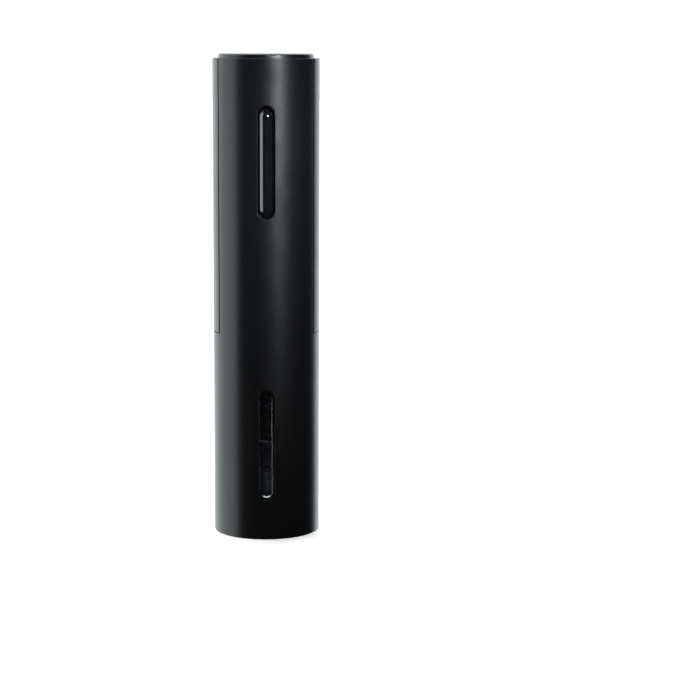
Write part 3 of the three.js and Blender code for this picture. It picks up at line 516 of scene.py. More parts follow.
def make_looks():
    """One material for each slot."""
    looks = {
        "shell": Look("satin_black_shell", (0.0034, 0.0036, 0.0042), 0.30)
        .vary_roughness(180, 0.025).grain(2600, 0.004, 3.0),
        "gloss": Look("gloss_black_button", (0.003, 0.0032, 0.0038), 0.07, IOR=1.9, Coat_Weight=0.5,
                      Coat_Roughness=0.04)
        .vary_roughness(90, 0.02).grain(240, 0.0012, 1.0),
        "clear": Look("clear_acrylic", (0.90, 0.93, 0.94), 0.02, Transmission_Weight=1.0, IOR=1.49)
        .vary_roughness(160, 0.01),
        "rubber": Look("soft_black_rubber", (0.016, 0.016, 0.017), 0.72)
        .vary_colour(400, 0.5).grain(1500, 0.012),
        "acetal": Look("natural_acetal", (0.72, 0.70, 0.63), 0.42, Subsurface_Weight=0.08,
                       Subsurface_Radius=(0.002, 0.002, 0.0015))
        .vary_colour(60, 0.05).grain(900, 0.004),
        "nylon": Look("moulded_nylon", (0.022, 0.023, 0.025), 0.5)
        .vary_roughness(300, 0.06).grain(1400, 0.01),
        "steel": Look("turned_steel", (0.60, 0.61, 0.62), 0.27, 1.0)
        .vary_roughness(400, 0.08, (1, 1, 6)).grain(300, 0.003, 3.0, (1, 1, 14)),
        "worm": Look("polished_steel_worm", (0.68, 0.68, 0.69), 0.16, 1.0)
        .vary_roughness(500, 0.06).grain(600, 0.0025, 4.0),
        "zinc": Look("zinc_plate", (0.58, 0.60, 0.62), 0.38, 1.0)
        .vary_colour(220, other=(0.66, 0.66, 0.60)).vary_roughness(350, 0.1).grain(900, 0.003),
        "bronze": Look("sintered_bronze", (0.46, 0.27, 0.13), 0.45, 1.0)
        .vary_colour(700, other=(0.30, 0.17, 0.08)).grain(2200, 0.006),
        "nickel": Look("nickel_plate", (0.70, 0.67, 0.60), 0.25, 1.0)
        .vary_roughness(260, 0.08).grain(800, 0.002),
        "copper": Look("enamelled_copper", (0.52, 0.18, 0.07), 0.35, 0.85)
        .grain(260, 0.06, 1.0, (1, 1, 9)).vary_roughness(300, 0.08),
        "cell": Look("plain_cell_sleeve", (0.045, 0.048, 0.055), 0.25, Coat_Weight=0.5, Coat_Roughness=0.1)
        .vary_roughness(120, 0.05).grain(200, 0.003),
        "board": Look("green_circuit_board", (0.010, 0.10, 0.04), 0.32)
        .vary_colour(90, other=(0.016, 0.14, 0.06)).grain(1500, 0.004),
        "red_wire": Look("red_insulation", (0.42, 0.02, 0.015), 0.35)
        .vary_roughness(500, 0.08).grain(900, 0.004),
        "black_wire": Look("black_insulation", (0.012, 0.012, 0.013), 0.35)
        .vary_roughness(500, 0.08).grain(900, 0.004),
    }
    return {slot: look.material for slot, look in looks.items()}


def dress_cad_nodes(looks):
    """Every CAD node gets the procedural material of its own slot."""
    for row in frame["record"]["subparts"]:
        obj = frame["nodes"][row["node"]]
        obj.data.materials.clear()
        obj.data.materials.append(looks[row["material_slot"]])


# ------------ the two shells

SEAM_GAP_ANGLE = 2.2                       # the width of each upright seam, in degrees
BARREL_TOP = 96                            # the front shell is a whole tube up to here
ABOVE = 400                                # a height well above the opener, for cutters
SHELL_SEGMENTS = 256


def body_tube(name, bottom, bottom_edge):
    """The outer tube with a rounded top edge and the inward rim round the cap."""
    rim = CAP_R + RIM_GAP
    outline = [
        *arc(OUTER_R - bottom_edge, bottom + bottom_edge, bottom_edge, -90, 0, 5),
        *arc(OUTER_R - 0.12, TOP - 0.12, 0.12, 0, 90, 4),
        *arc(rim + 0.2, TOP - 0.2, 0.2, 90, 180, 3),
        (rim, TOP - RIM_THICK), (BORE_R, TOP - RIM_THICK), (BORE_R, bottom),
    ]
    return lathe(name, outline, SHELL_SEGMENTS)


def slot_cutter(name, width, length, z, edge):
    """A slot whose outer edge flares out in a rounded lead-in."""
    flare = [(edge * (1 - math.sin(a)), OUTER_R - edge * (1 - math.cos(a)))
             for a in (math.pi / 2 * i / 6 for i in range(7))]
    return wrapped_slot(name, width, length, z, [(edge * 1.02, OUTER_R + 1), *flare, (0, BORE_R - 4)])


def seam_grooves():
    """Slim prisms that chamfer the outer corner of each upright seam."""
    half_width, proud, deep = 0.55, 0.3, 0.5
    made = []
    for side in SIDES:
        at = math.radians(side * (SEAM_ANGLE + SEAM_GAP_ANGLE / 2) - 90)
        centre = Vector((math.cos(at), math.sin(at), 0)) * (OUTER_R + 0.05)
        across = Vector((-math.sin(at), math.cos(at), 0))
        inward = -centre.normalized()
        outline = [centre + across * half_width, centre + inward * deep,
                   centre - across * half_width, centre - inward * proud]
        made.append(prism("seam_groove", [(p.x, p.y) for p in outline], (SPLIT, ABOVE)))
    return made


def cradles(centre, half):
    """Ribs that hold the gear housing and the motor."""
    return [ring_part("cradle", high(node).x + RIM_GAP, BORE_R + 0.5, (z, z + 2), centre, half)
            for node, z in (("gear_housing", 112), ("motor_can", 140))]


def screw_axes():
    return [(middle(node).x, middle(node).z) for node in SCREW_NODES]


def make_front_shell(looks):
    above = block("above", (-60, 60), (-60, 60), (BARREL_TOP, ABOVE))
    shell = combine(body_tube("front_shell_fine", 0, 0.5), [above], "DIFFERENCE")
    front = wedge("front", -SEAM_ANGLE, SEAM_ANGLE, (BARREL_TOP - 0.1, ABOVE))
    upper = combine(body_tube("upper", BARREL_TOP - 10, 0.1), [front], "INTERSECT")
    additions = [upper, *cradles(0, 56)]
    for x, z in screw_axes():
        additions.append(bar("post", 2.4, (x, -15.6, z), (x, 0, z)))
    lug_z = (BUTTON_Z - 2, BUTTON_Z + 2)
    for side in SIDES:
        additions.append(block("pivot_lug", sorted((side * 5.3, side * 7.3)), (-23.2, -18), lug_z))
    for z in (BUTTON_Z - POST_REACH, BUTTON_Z + POST_REACH):
        additions.append(bar("board_post", 1.6, (0, -23.6, z), (0, -15.7, z)))
        additions.append(bar("board_pin", 0.8, (0, -23.6, z), (0, -14.2, z)))
    combine(shell, additions, "UNION")
    cuts = [
        slot_cutter("button_slot", SLOT_WIDTH, SLOT_LENGTH, BUTTON_Z, 0.3),
        slot_cutter("window_slot", WINDOW_WIDTH, WINDOW_HIGH - WINDOW_LOW, WINDOW_Z, 0.35),
        bar("pivot_hole", 0.85, (-9, PIVOT_Y, BUTTON_Z), (9, PIVOT_Y, BUTTON_Z)),
        *[bar("post_hole", 1.2, (x, -9, z), (x, 1, z)) for x, z in screw_axes()],
        *seam_grooves(),
    ]
    stands_for(combine(shell, cuts, "DIFFERENCE"), "front_shell", looks)
    true_cylinder_normals(shell, OUTER_R)


def make_rear_cover(looks):
    bottom = BARREL_TOP + RIM_GAP
    front_angle = SEAM_ANGLE + SEAM_GAP_ANGLE
    front = wedge("front", -front_angle, front_angle, (90, ABOVE))
    cover = combine(body_tube("rear_cover_fine", bottom, 0.3), [front], "DIFFERENCE")
    tongue_in, link_out = BORE_R - 1.3, BORE_R + 0.5
    additions = [
        ring_part("tongue", tongue_in, BORE_R - RIM_GAP, (94.4, bottom + 4), 180, 60, 48),
        ring_part("tongue_link", tongue_in, link_out, (bottom + 0.1, bottom + 4), 180, 60, 48),
        *cradles(180, 100),
    ]
    for x, z in screw_axes():
        boss = bar("boss", 2.9, (x, 0.3, z), (x, 16.5, z))
        inside_wall = bar("inside_wall", BORE_R + 0.5, (0, 0, z - 5), (0, 0, z + 5), 128)
        additions.append(combine(boss, [inside_wall], "INTERSECT"))
    combine(cover, additions, "UNION")
    wells = [bar("well", 2.2, (x, 4.2, z), (x, 50, z), 40) for x, z in screw_axes()]
    holes = [bar("well_hole", 1.3, (x, -1, z), (x, 50, z)) for x, z in screw_axes()]
    stands_for(combine(cover, wells + holes + seam_grooves(), "DIFFERENCE"), "rear_cover", looks)
    true_cylinder_normals(cover, OUTER_R)


# ------------ cap

def make_cap(looks):
    """A disc with a softly rounded edge, a skirt with three lugs, and the boss for the swivel screw."""
    skirt_out, skirt_in = 20.6, 19.2
    bottom, skirt_bottom = 222.6, low("battery_cap").z
    plate_top = high("contact_plate").z
    edge = 0.9
    profile = [
        (0, plate_top + 0.2), (4, plate_top + 0.2), (4, bottom + 0.6), (skirt_in, bottom + 0.6),
        (skirt_in, skirt_bottom), (skirt_out, skirt_bottom), (skirt_out, bottom), (CAP_R, bottom),
        *arc(CAP_R - edge, CAP_TOP - edge, edge, 0, 90, 8), (0, CAP_TOP),
    ]
    cap = lathe("battery_cap_fine", profile, 192)
    lugs = [ring_part("lug", skirt_out - 0.5, 21.7, (217.8, 219.4), 60 + 120 * i, 9) for i in range(3)]
    combine(cap, lugs, "UNION")
    combine(cap, [bar("swivel_hole", 1.3, (0, 0, 200), (0, 0, 224.3))], "DIFFERENCE")
    stands_for(cap, "battery_cap", looks)


# ------------ button

def make_button(looks):
    """The rocker: a long ridged crown with round ends on a flange, with its pivot block and nubs behind."""
    side_gap, end_gap, ridge_r, flank, edge = 0.92, 1.9, 2.9, 38.0, 0.7
    half_width = SLOT_WIDTH / 2 - side_gap
    half_length = SLOT_LENGTH / 2 - end_gap
    front = -low("rocker_button").y - 0.02
    slope = math.radians(flank)
    ridge_end = ridge_r * math.sin(slope)
    flank_end = half_width - edge * (1 - math.sin(slope))
    flank_depth = ridge_r * (1 - math.cos(slope)) + (flank_end - ridge_end) * math.tan(slope)
    edge_centre = flank_depth + edge * math.cos(slope)
    profile = [(half_width, front - BUTTON_BACK)]
    for a in np.linspace(math.pi / 2, slope, 6):
        profile.append((half_width - edge + edge * math.sin(a), edge_centre - edge * math.cos(a)))
    for reach in np.linspace(flank_end, ridge_end, 5)[1:-1]:
        profile.append((reach, flank_depth - (flank_end - reach) * math.tan(slope)))
    for a in np.linspace(slope, 0.01, 12):
        profile.append((ridge_r * math.sin(a), ridge_r * (1 - math.cos(a))))
    rings = []
    straight = half_length - half_width
    for reach, depth in profile:
        share = reach / half_width
        ring = []
        for x, up in dense(stadium(2 * half_width, 2 * half_length), 3.0):
            level = max(-straight, min(straight, up))
            ring.append((x * share, depth - front, BUTTON_Z + level + (up - level) * share))
        rings.append(ring)
    crown = loft("rocker_button_fine", rings)
    flange = stadium(9.6, SLOT_LENGTH + 2.6)
    nub_heights = (BUTTON_Z - SWITCH_REACH, BUTTON_Z + SWITCH_REACH)
    parts = [
        loft("flange", [[(x, y, BUTTON_Z + up) for x, up in flange] for y in (-21.2, -20.3)]),
        block("pivot_block", (-3, 3), (-20.5, PIVOT_Y + 1.3), (BUTTON_Z - 2, BUTTON_Z + 2)),
        *[bar("nub", 1.4, (0, -20.5, z), (0, -20.1, z)) for z in nub_heights],
    ]
    combine(crown, parts, "UNION")
    combine(crown, [bar("pivot_bore", 0.9, (-9, PIVOT_Y, BUTTON_Z), (9, PIVOT_Y, BUTTON_Z))], "DIFFERENCE")
    stands_for(crown, "rocker_button", looks)


# ------------ window lens

def make_lens(looks):
    """The clear insert: its face follows the body inside a rounded rim; its flange is behind the wall."""
    clearance, rim_r = 0.3, 0.5
    width = WINDOW_WIDTH - clearance
    length = WINDOW_HIGH - WINDOW_LOW - clearance
    front = OUTER_R - 0.04
    flange_front, back = BORE_R - RIM_GAP, BORE_R - 1.5
    angles = np.linspace(0, math.pi / 2, 8)
    rim = [(rim_r * math.cos(a) - rim_r, front - rim_r + rim_r * math.sin(a)) for a in angles]
    profile = [
        (1.8, back), (1.8, flange_front), (0, flange_front), *rim, (-0.8, front), (-0.95, front - 0.1),
        (-1.1, front - 0.4), (-1.25, front - 0.5),
    ]
    lens = wrapped_slot("window_lens_fine", width, length, WINDOW_Z, profile)
    lens.visible_shadow = False
    stands_for(lens, "window_lens", looks, 20)


# ------------ worm, guide and seat

def wire(name, centres, radii, sides=16, sideways=(0, 0, 1)):
    """A round wire along a list of points, with a radius at each."""
    rings = []
    last = len(centres) - 1
    spoke = Vector(sideways)
    for i, (centre, r) in enumerate(zip(centres, radii)):
        along = (centres[min(i + 1, last)] - centres[max(i - 1, 0)]).normalized()
        spoke = (spoke - along * spoke.dot(along)).normalized()
        other = along.cross(spoke)
        angles = [TURN * k / sides for k in range(sides)]
        rings.append([tuple(centre + spoke * (r * math.cos(a)) + other * (r * math.sin(a))) for a in angles])
    return loft(name, rings)


def make_worm(looks):
    """Polished wire: a straight shank that opens into a right-handed helix and tapers to a sharp point."""
    tip, top, helix_top = low("worm").z + 0.5, high("worm").z, 80.0
    wire_r, helix_r, pitch, opening_turns, taper_turns = 1.5, 3.1, 9.0, 0.6, 0.55
    length = helix_top - tip
    turns = length / pitch
    per_turn = 48
    steps = round(turns * per_turn)
    centres = [Vector((0, 0, top)), Vector((0, 0, helix_top + 0.5))]
    for i in range(steps + 1):
        t = i / steps
        opening = min(1.0, t * turns / opening_turns)
        r = helix_r * opening * opening * (3 - 2 * opening)
        a = TURN * turns * t
        centres.append(Vector((r * math.cos(a), -r * math.sin(a), helix_top - length * t)))
    turns_left = [(len(centres) - 1 - i) / per_turn for i in range(len(centres))]
    radii = [wire_r * max(0.02, min(1.0, left / taper_turns) ** 0.8) for left in turns_left]
    stands_for(wire("worm_fine", centres, radii, 20, (1, 0, 0)), "worm", looks)


def make_guide(looks):
    """The clear sleeve, with its wide bottle bore, shoulder, ribbed cork bore and two flanges."""
    flange_r = BORE_R - RIM_GAP
    bottle_r, cork_r, wall, shoulder = 16.5, 13.0, 1.8, 46.5
    profile = rounded([
        (bottle_r + 1, 0.6), (flange_r, 0.6), (flange_r, 3), (bottle_r + wall, 3), (bottle_r + wall, 49),
        (cork_r + wall, 50), (cork_r + wall, 91.5), (flange_r, 91.5), (flange_r, 94),
        (8, 94), (8, 92.5), (cork_r, 91.5), (cork_r, shoulder), (bottle_r, shoulder), (bottle_r, 2),
    ], 0.4)
    guide = lathe("bottle_guide_fine", profile, 128)
    # Half of a rib's outline, from its root in the wall to its crest, as (outward from the bore, across).
    half_rib = [(0.5, 0.4), (-0.7, 0.4), (-0.9, 0.2)]
    rib_outline = half_rib + [(out, -across) for out, across in reversed(half_rib)]
    ribs = []
    for i in range(4):
        at = math.radians(45 + 90 * i)
        along = Vector((math.cos(at), math.sin(at), 0))
        across = Vector((-math.sin(at), math.cos(at), 0))
        outline = [along * (cork_r + out) + across * side for out, side in rib_outline]
        ribs.append(prism("rib", [(p.x, p.y) for p in outline], (shoulder + 2, 91)))
    combine(guide, ribs, "UNION")
    guide.visible_shadow = False
    stands_for(guide, "bottle_guide", looks)


def make_seat(looks):
    inner, outer = 13.6, 16.2
    bottom, top = low("lip_seat_ring").z, high("lip_seat_ring").z
    outline = rounded([(inner, bottom), (outer, bottom), (outer, top), (inner, top)], 0.5)
    stands_for(lathe("lip_seat_ring_fine", outline, 96), "lip_seat_ring", looks, 60)


# ------------ cells and springs

CELLS_UP = (2, 4)                          # these cells have their nub on top, and a spring below


def make_cell(looks, number):
    """A plain AA cell: a crimped sleeve, a steel end and a nub."""
    node = f"battery_cell_{number}"
    bottom, top = low(node), high(node)
    r, nub, nub_r = 7.1, 1.3, 2.7
    centre = (middle(node).x, middle(node).y)
    up = number in CELLS_UP
    body_low = bottom.z if up else bottom.z + nub
    body_high = top.z - nub if up else top.z
    nub_z = (body_high - 0.05, top.z) if up else (bottom.z, body_low + 0.05)
    # The crimped end, from the axis out, as (radius, distance in from the end).
    crimp = [(0, 0), (r - 1.0, 0), (r - 0.9, 0.15), (r - 0.25, 0.15), (r, 0.5)]
    outline = [(reach, body_low + inset) for reach, inset in crimp]
    outline += [(reach, body_high - inset) for reach, inset in reversed(crimp)]
    sleeve = lathe(node + "_fine", rounded(outline, 0.15, 3), 64, centre)
    combine(sleeve, [disc("nub", nub_r, nub_z, 0.4, 48, centre)], "UNION")
    stands_for(sleeve, node, looks, 40)
    sleeve.data.materials.append(looks["nickel"])
    for face in sleeve.data.polygons:
        reach = math.hypot(face.center.x / MM - centre[0], face.center.y / MM - centre[1])
        if reach < r - 1.05 or (reach < r - 0.5 and abs(face.normal.z) > 0.9):
            face.material_index = 1


def make_spring(looks, number):
    """A conical coil spring with a flat first turn. It stands below its cell, or hangs above it."""
    node = f"battery_spring_{number}"
    bottom, top = low(node).z, high(node).z
    cell = middle(f"battery_cell_{number}")
    wire_r, seat_r, tip_r = 0.35, 3.5, 2.3
    turns, flat_turns, per_turn = 3.2, 0.7, 36
    steps = round(turns * per_turn)
    centres = []
    for i in range(steps + 1):
        t = i / steps
        rise = max(0.0, (t * turns - flat_turns) / (turns - flat_turns))
        r = seat_r + (tip_r - seat_r) * rise
        height = wire_r + (top - bottom - 2 * wire_r) * rise
        z = bottom + height if number in CELLS_UP else top - height
        a = TURN * turns * t
        centres.append(Vector((cell.x + r * math.cos(a), cell.y + r * math.sin(a), z)))
    stands_for(wire(node + "_fine", centres, [wire_r] * len(centres), 10), node, looks)


def make_cells(looks):
    for number in (1, 2, 3, 4):
        make_cell(looks, number)
        make_spring(looks, number)


# ------------ small turned, cut and bent pieces

def tube(name, inner, outer, bottom, top, edge=0.15, segments=96):
    corners = [(inner, bottom), (outer, bottom), (outer, top), (inner, top)]
    return lathe(name, rounded(corners, edge), segments)


def laid(obj, axis, centre):
    """Turns a piece that was made about the Z axis so that it lies along X or Y through a point."""
    turn = Matrix.Rotation(math.radians(-90 if axis == "Y" else 90), 4, "X" if axis == "Y" else "Y")
    obj.data.transform(Matrix.Translation(Vector(centre) * MM) @ turn)
    return obj


def bevelled(obj, width):
    build = bmesh.new()
    build.from_mesh(obj.data)
    bmesh.ops.bevel(build, geom=build.edges, offset=width * MM, segments=3, profile=0.5, affect="EDGES")
    build.to_mesh(obj.data)
    build.free()
    return obj


def cross(x, y, z):
    """The two arms of a screw's recess. One of x, y and z is a pair, the recess's depth, and the others
    are its centre."""
    long, short = 1.2, 0.3
    arms = []
    for reaches in ([long, short], [short, long]):
        spans = []
        for place in (x, y, z):
            if isinstance(place, tuple):
                spans.append(place)
            else:
                reach = reaches.pop(0)
                spans.append((place - reach, place + reach))
        arms.append(block("arm", *spans))
    return arms


def make_screws(looks):
    for node in SCREW_NODES:
        x, z = middle(node).x, middle(node).z
        outline = [(0, -8.5), (0.35, -8.5), (1.1, -7), (1.1, 4.3), (1.9, 4.3), (1.9, 5.9), (0, 5.9)]
        screw = laid(lathe(node, rounded(outline, 0.4), 48), "Y", (x, 0, z))
        stands_for(combine(screw, cross(x, (5.2, 7), z), "DIFFERENCE"), node, looks)
    for node, x in (("motor_screw_left", -MOTOR_SCREW_X), ("motor_screw_right", MOTOR_SCREW_X)):
        outline = [(0, 122.6), (2.2, 122.6), (2.2, 123.6), (1.15, 123.6), (1.15, 127.2), (0, 127.2)]
        screw = lathe(node, rounded(outline, 0.3), 48, (x, 0))
        stands_for(combine(screw, cross(x, 0, (120, 123.1)), "DIFFERENCE"), node, looks)
    outline = [(0, 217.7), (2.4, 217.7), (2.4, 219), (1.2, 219), (1.2, 224), (0, 224)]
    swivel = lathe("swivel", rounded(outline, 0.3), 48)
    stands_for(combine(swivel, cross(0, 0, (216, 218.3)), "DIFFERENCE"), "cap_swivel_screw", looks)


def make_collar_and_plate(looks):
    collar = tube("collar", 20.9, 22.7, 216.5, 222.2, 0.12, 160)
    grooves = []
    for i in range(3):
        angle = 60 + 120 * i
        grooves.append(ring_part("groove", 20.6, 22, (217.4, 223.2), angle, 12))
        grooves.append(ring_part("channel", 20.6, 22, (217.4, 219.8), angle - 12.5, 24.5))
    stands_for(combine(collar, grooves, "DIFFERENCE"), "cap_collar", looks)
    stands_for(tube("plate", 1.5, 18.8, 219.3, 221, 0.25, 128), "contact_plate", looks)


CAGE_OFFSET = 3.2                          # the cells' axis lies this far behind the body's
CELL_REACH = 7.3                           # from the cells' axis sideways or back to each cell's


def make_cage(looks):
    outline = rounded([(0, 162), (18.8, 162), (18.8, 214), (17.6, 214), (17.6, 163.6), (0, 163.6)], 0.25)
    cage = lathe("cage", outline, 128)
    fins = [block("fin", sorted((side * 18.1, side * 22)), (-0.8, 0.8), (162, 214)) for side in SIDES]
    combine(cage, fins, "UNION")
    cage.data.transform(Matrix.Translation((0, CAGE_OFFSET * MM, 0)))
    tabs = (-CELL_REACH, CELL_REACH)
    holes = [block("hole", (x - 1.4, x + 1.4), (-9.9, -8.9), (160, 165)) for x in tabs]
    front = block("front", (-6.1, 6.1), (-30, -8 + CAGE_OFFSET), (160, 216))
    stands_for(combine(cage, [front, *holes], "DIFFERENCE"), "battery_cage", looks)


def make_contacts(looks):
    """Stamped plates: round pads at the cells' ends, joined by a strip or led to a solder tab."""
    left, right = -CELL_REACH, CELL_REACH
    near, far = CAGE_OFFSET - CELL_REACH, CAGE_OFFSET + CELL_REACH
    upper, lower, thick, half_strip, half_tab = 218.6, 163.9, 0.4, 3, 1.1
    contacts = {
        "top_contact_left": ([(left, near), (left, far)], upper),
        "top_contact_right": ([(right, near), (right, far)], upper),
        "bottom_contact": ([(left, far), (right, far)], lower),
        "terminal_positive": ([(left, near)], lower),
        "terminal_negative": ([(right, near)], lower),
    }
    for node, (pads, z) in contacts.items():
        made = [disc("pad", 4.4, (z, z + thick), 0.1, 64, pad) for pad in pads]
        x, y = pads[0]
        if len(pads) == 1:
            tab_x = (x - half_tab, x + half_tab)
            strips = [block("strip", tab_x, (-9.6, y), (z, z + thick)),
                      block("tab", tab_x, (-9.6, -9.2), (159.4, z + thick))]
        elif pads[1][0] == x:
            strips = [block("strip", (x - half_strip, x + half_strip), (near, far), (z, z + thick))]
        else:
            strips = [block("strip", (left, right), (far - half_strip, far + half_strip), (z, z + thick))]
        stands_for(combine(made[0], made[1:] + strips, "UNION"), node, looks)


def make_switches(looks):
    pin = disc("pin", 0.75, (-7.6, 7.6), 0.2, 48)
    stands_for(laid(pin, "X", (0, PIVOT_Y, BUTTON_Z)), "button_pivot_pin", looks)
    board = bevelled(block("board", (-5.5, 5.5), (-15.6, -14.4), (144.5, 209.2)), 0.15)
    hole_heights = (BUTTON_Z - POST_REACH, BUTTON_Z + POST_REACH)
    holes = [bar("hole", 1.0, (0, -17, z), (0, -13, z)) for z in hole_heights]
    stands_for(combine(board, holes, "DIFFERENCE"), "switch_board", looks)
    for level, z in (("lower", BUTTON_Z - SWITCH_REACH), ("upper", BUTTON_Z + SWITCH_REACH)):
        switch = bevelled(block("switch", (-3, 3), (-19.2, -15.7), (z - 3, z + 3)), 0.25)
        combine(switch, [bar("bore", 1.0, (0, -21, z), (0, -17.4, z))], "DIFFERENCE")
        stands_for(switch, f"switch_{level}", looks)
        plunger = disc("plunger", 0.8, (-20, -18.4), 0.3, 40)
        stands_for(laid(plunger, "Y", (0, 0, z)), f"switch_plunger_{level}", looks)


# ------------ motor

def make_motor(looks):
    screws = (-MOTOR_SCREW_X, MOTOR_SCREW_X)
    outline = [(1.4, 123.6), (4.8, 123.6), (4.8, 125), (13.85, 125), (13.85, 154), (12.9, 154), (12.9, 126),
               (1.4, 126)]
    can = lathe("can", rounded(outline, 0.7), 128)
    holes = [bar("hole", 1.35, (x, 0, 120), (x, 0, 128)) for x in screws]
    stands_for(combine(can, holes, "DIFFERENCE"), "motor_can", looks)
    outline = [(1.4, 154.2), (11.4, 154.2), (11.4, 151.5), (12.6, 151.5), (12.6, 154.2), (13.55, 154.2),
               (13.55, 156.4), (12.95, 157), (4, 157), (4, 158.4), (1.4, 158.4)]
    bell = lathe("bell", rounded(outline, 0.25), 128)
    tabs = [block("tab", (x - 1.2, x + 1.2), (-0.3, 0.3), (156, 160)) for x in (-8.5, 8.5)]
    stands_for(combine(bell, tabs, "UNION"), "motor_end_bell", looks)
    plate = tube("plate", 5.1, 18.5, 122.5, 124.7, 0.25, 128)
    head_and_shank = ((2.5, 123.7), (1.4, 127))
    holes = [bar("hole", r, (x, 0, 120), (x, 0, top)) for x in screws for r, top in head_and_shank]
    stands_for(combine(plate, holes, "DIFFERENCE"), "motor_plate", looks)
    stands_for(disc("shaft", 1.15, (118, 157.8), 0.25, 48), "motor_shaft", looks)


def make_armature(looks):
    """Laminated steel poles with a winding over each, on a hub, with the commutator on top."""
    hub = [(1.25, 130.5), (4, 130.5), (4, 150.5), (3, 150.5), (3, 153.4), (1.25, 153.4)]
    armature = lathe("armature", hub, 72)
    parts = []
    for angle in (0, 120, 240):
        parts.append(ring_part("core", 8.3, 11.2, (132, 148), angle, 46))
        parts.append(bevelled(ring_part("winding", 3, 9.8, (129.5, 150.5), angle, 42, 12), 0.5))
    combine(armature, parts, "UNION")
    combine(armature, [bar("bore", 1.25, (0, 0, 120), (0, 0, 160), 48)], "DIFFERENCE")
    stands_for(armature, "armature", looks)
    armature.data.materials.append(looks["steel"])
    for face in armature.data.polygons:
        reach = math.hypot(face.center.x, face.center.y) / MM
        if reach > 9.83 and 131.9 < face.center.z / MM < 148.1:
            face.material_index = 1


# ------------ gearbox

MODULE = 0.6
SUN, PLANET, RING = 10, 20, 50
PLANET_REACH = MODULE * (SUN + PLANET) / 2
STAGES = {"one": (117.6, 121.8, 1.15), "two": (110.2, 115.3, 1.45)}   # the planets' bottom, top and bore


def toothed(teeth, phase, inside=False):
    """A gear's outline with involute flanks, as (radius, angle) points, or an inside gear's space."""
    addendum, dedendum, slack, pressure = 0.8, 1.15, 0.16, 25
    pitch_r = MODULE * teeth / 2
    base_r = pitch_r * math.cos(math.radians(pressure))
    root_r = pitch_r - MODULE * (addendum if inside else dedendum)
    tip_r = pitch_r + MODULE * (dedendum if inside else addendum)

    def involute(r):
        angle = math.acos(min(1.0, base_r / r))
        return math.tan(angle) - angle

    thinner = (1 if inside else -1) * slack / 4
    half_at_pitch = (math.pi * MODULE / 4 + thinner) / pitch_r
    reaches = np.linspace(root_r, tip_r, 6)
    flank = [(r, half_at_pitch + involute(pitch_r) - involute(max(r, base_r))) for r in reaches]
    points = []
    for i in range(teeth):
        at = phase + TURN * i / teeth
        points += [(r, at - half) for r, half in flank] + [(r, at + half) for r, half in reversed(flank)]
    return points


def gear(name, outline, bottom, top, centre=(0.0, 0.0), chamfer=0.15):
    """A gear whose teeth are chamfered at both ends."""
    x, y = centre
    tip = max(r for r, _ in outline)
    levels = ((bottom, tip - chamfer), (bottom + chamfer, tip), (top - chamfer, tip), (top, tip - chamfer))
    rings = [[(x + min(r, limit) * math.cos(a), y + min(r, limit) * math.sin(a), z) for r, a in outline]
             for z, limit in levels]
    return loft(name, rings)


def planet_places():
    """Each planet's x, y and angle."""
    angles = (0.0, TURN / 3, 2 * TURN / 3)
    return [(PLANET_REACH * math.cos(a), PLANET_REACH * math.sin(a), a) for a in angles]


def make_gears(looks):
    housing = lathe("housing", rounded([(6.1, 94.6), (18.5, 94.6), (18.5, 122.2), (6.1, 122.2)], 0.3), 160)
    ring_teeth = gear("ring_teeth", toothed(RING, TURN / RING / 2, True), 105.6, 124, (0, 0), 0.0001)
    stands_for(combine(housing, [ring_teeth], "DIFFERENCE"), "gear_housing", looks)
    pinion = gear("pinion", toothed(SUN, 0), 117.6, 122)
    combine(pinion, [bar("bore", 1.25, (0, 0, 110), (0, 0, 130), 48)], "DIFFERENCE")
    stands_for(pinion, "pinion_gear", looks)
    for stage, (bottom, top, bore_r) in STAGES.items():
        for i, (x, y, angle) in enumerate(planet_places()):
            past = (angle / (TURN / SUN)) % 1
            phase = angle + math.pi - TURN / PLANET * (0.5 - past)
            planet = gear("planet", toothed(PLANET, phase), bottom, top, (x, y))
            combine(planet, [bar("bore", bore_r, (x, y, 100), (x, y, 130), 48)], "DIFFERENCE")
            stands_for(planet, f"planet_{stage}_{i + 1}", looks)


def make_carriers(looks):
    one = disc("one", 12, (115.7, 117.2), 0.25, 96)
    pins = [bar("pin", 1, (x, y, 116.2), (x, y, 121.5)) for x, y, _ in planet_places()]
    sun = gear("sun", toothed(SUN, 0), 110.1, 116)
    stands_for(combine(one, [sun, *pins], "UNION"), "stage_one_carrier", looks)
    outline = [(0, 88), (4, 88), (4, 93.6), (3.1, 93.6), (3.1, 94.4), (4, 94.4), (4, 106.7), (12.6, 106.7),
               (12.6, 109.8), (0, 109.8)]
    two = lathe("two", rounded(outline, 0.2), 96)
    pins = [bar("pin", 1.3, (x, y, 107.2), (x, y, 115)) for x, y, _ in planet_places()]
    stands_for(combine(two, pins, "UNION"), "output_carrier", looks)


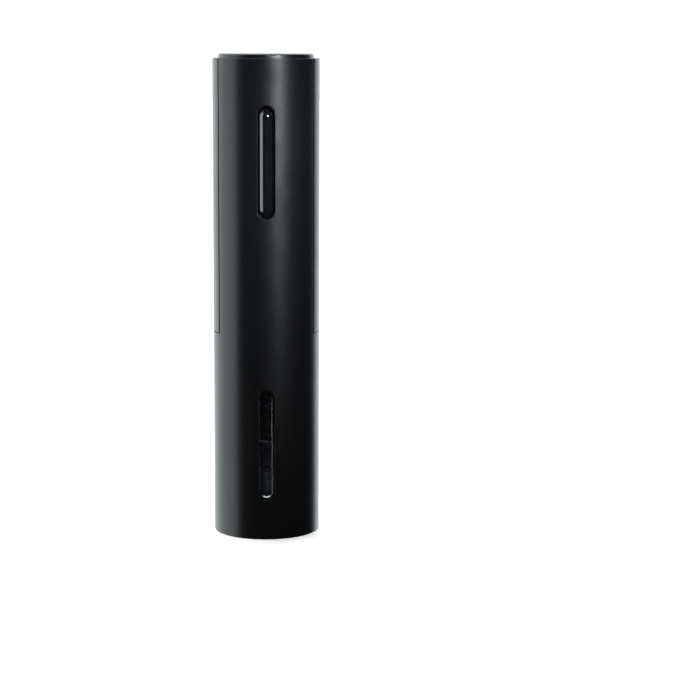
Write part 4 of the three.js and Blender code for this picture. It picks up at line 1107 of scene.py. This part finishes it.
def make_shaft_fittings(looks):
    stands_for(tube("bush", 4.08, 6, 95.6, 105.5, 0.25), "output_bush", looks)
    stands_for(tube("washer", 4.3, 9, 105.8, 106.4, 0.1), "thrust_washer", looks)
    clip = tube("clip", 3.25, 6.6, 93.7, 94.3, 0.08)
    mouth = block("mouth", (-2, 2), (-8, 0), (93, 95))
    stands_for(combine(clip, [mouth], "DIFFERENCE"), "retaining_clip", looks)
    outline = [(1.6, 82.6), (3.4, 82.6), (6.2, 87.1), (6.2, 93.4), (4.1, 93.4), (4.1, 87.9), (1.6, 87.9)]
    stands_for(lathe("chuck", rounded(outline, 0.4), 96), "worm_chuck", looks)


# ------------ wires

def spline(points, steps=12):
    """A smooth curve through points: a Catmull-Rom spline with centripetal spacing."""
    ends = [2 * points[0] - points[1], *points, 2 * points[-1] - points[-2]]
    made = []
    for i in range(1, len(points)):
        p0, p1, p2, p3 = ends[i - 1:i + 3]
        d0, d1, d2 = (math.sqrt((b - a).length) for a, b in ((p0, p1), (p1, p2), (p2, p3)))
        leave = ((p1 - p0) / d0 - (p2 - p0) / (d0 + d1) + (p2 - p1) / d1) * d1
        arrive = ((p2 - p1) / d1 - (p3 - p1) / (d1 + d2) + (p3 - p2) / d2) * d1
        for k in range(steps if i < len(points) - 1 else steps + 1):
            t = k / steps
            made.append(p1 + leave * t + (3 * (p2 - p1) - 2 * leave - arrive) * t * t
                        + (2 * (p1 - p2) + leave + arrive) * t ** 3)
    return made


def make_wires(looks):
    battery = [(7.3, -9.9, 160.6), (7, -11.6, 160.6), (4.6, -13, 160.5), (4, -14, 160.5)]
    motor = [(8.5, -0.6, 158.8), (9.8, -4, 158.3), (9, -8.6, 158.1), (5.4, -11.8, 158.1), (2.4, -13, 158.1),
             (2, -14, 158.1)]
    routes = {"battery_wire_positive": (-1, battery), "battery_wire_negative": (1, battery),
              "motor_wire_left": (-1, motor), "motor_wire_right": (1, motor)}
    for node, (side, points) in routes.items():
        centres = spline([Vector((side * x, y, z)) for x, y, z in points])
        stands_for(wire(node, centres, [0.5] * len(centres)), node, looks)


# ------------ build

make_camera()
make_floor()
make_world()
make_light()

LOOKS = make_looks()
for make in (dress_cad_nodes, make_front_shell, make_rear_cover, make_cap, make_button, make_lens, make_worm,
             make_guide, make_seat, make_cells, make_screws, make_collar_and_plate, make_cage, make_contacts,
             make_switches, make_motor, make_armature, make_gears, make_carriers, make_shaft_fittings,
             make_wires):
    make(LOOKS)
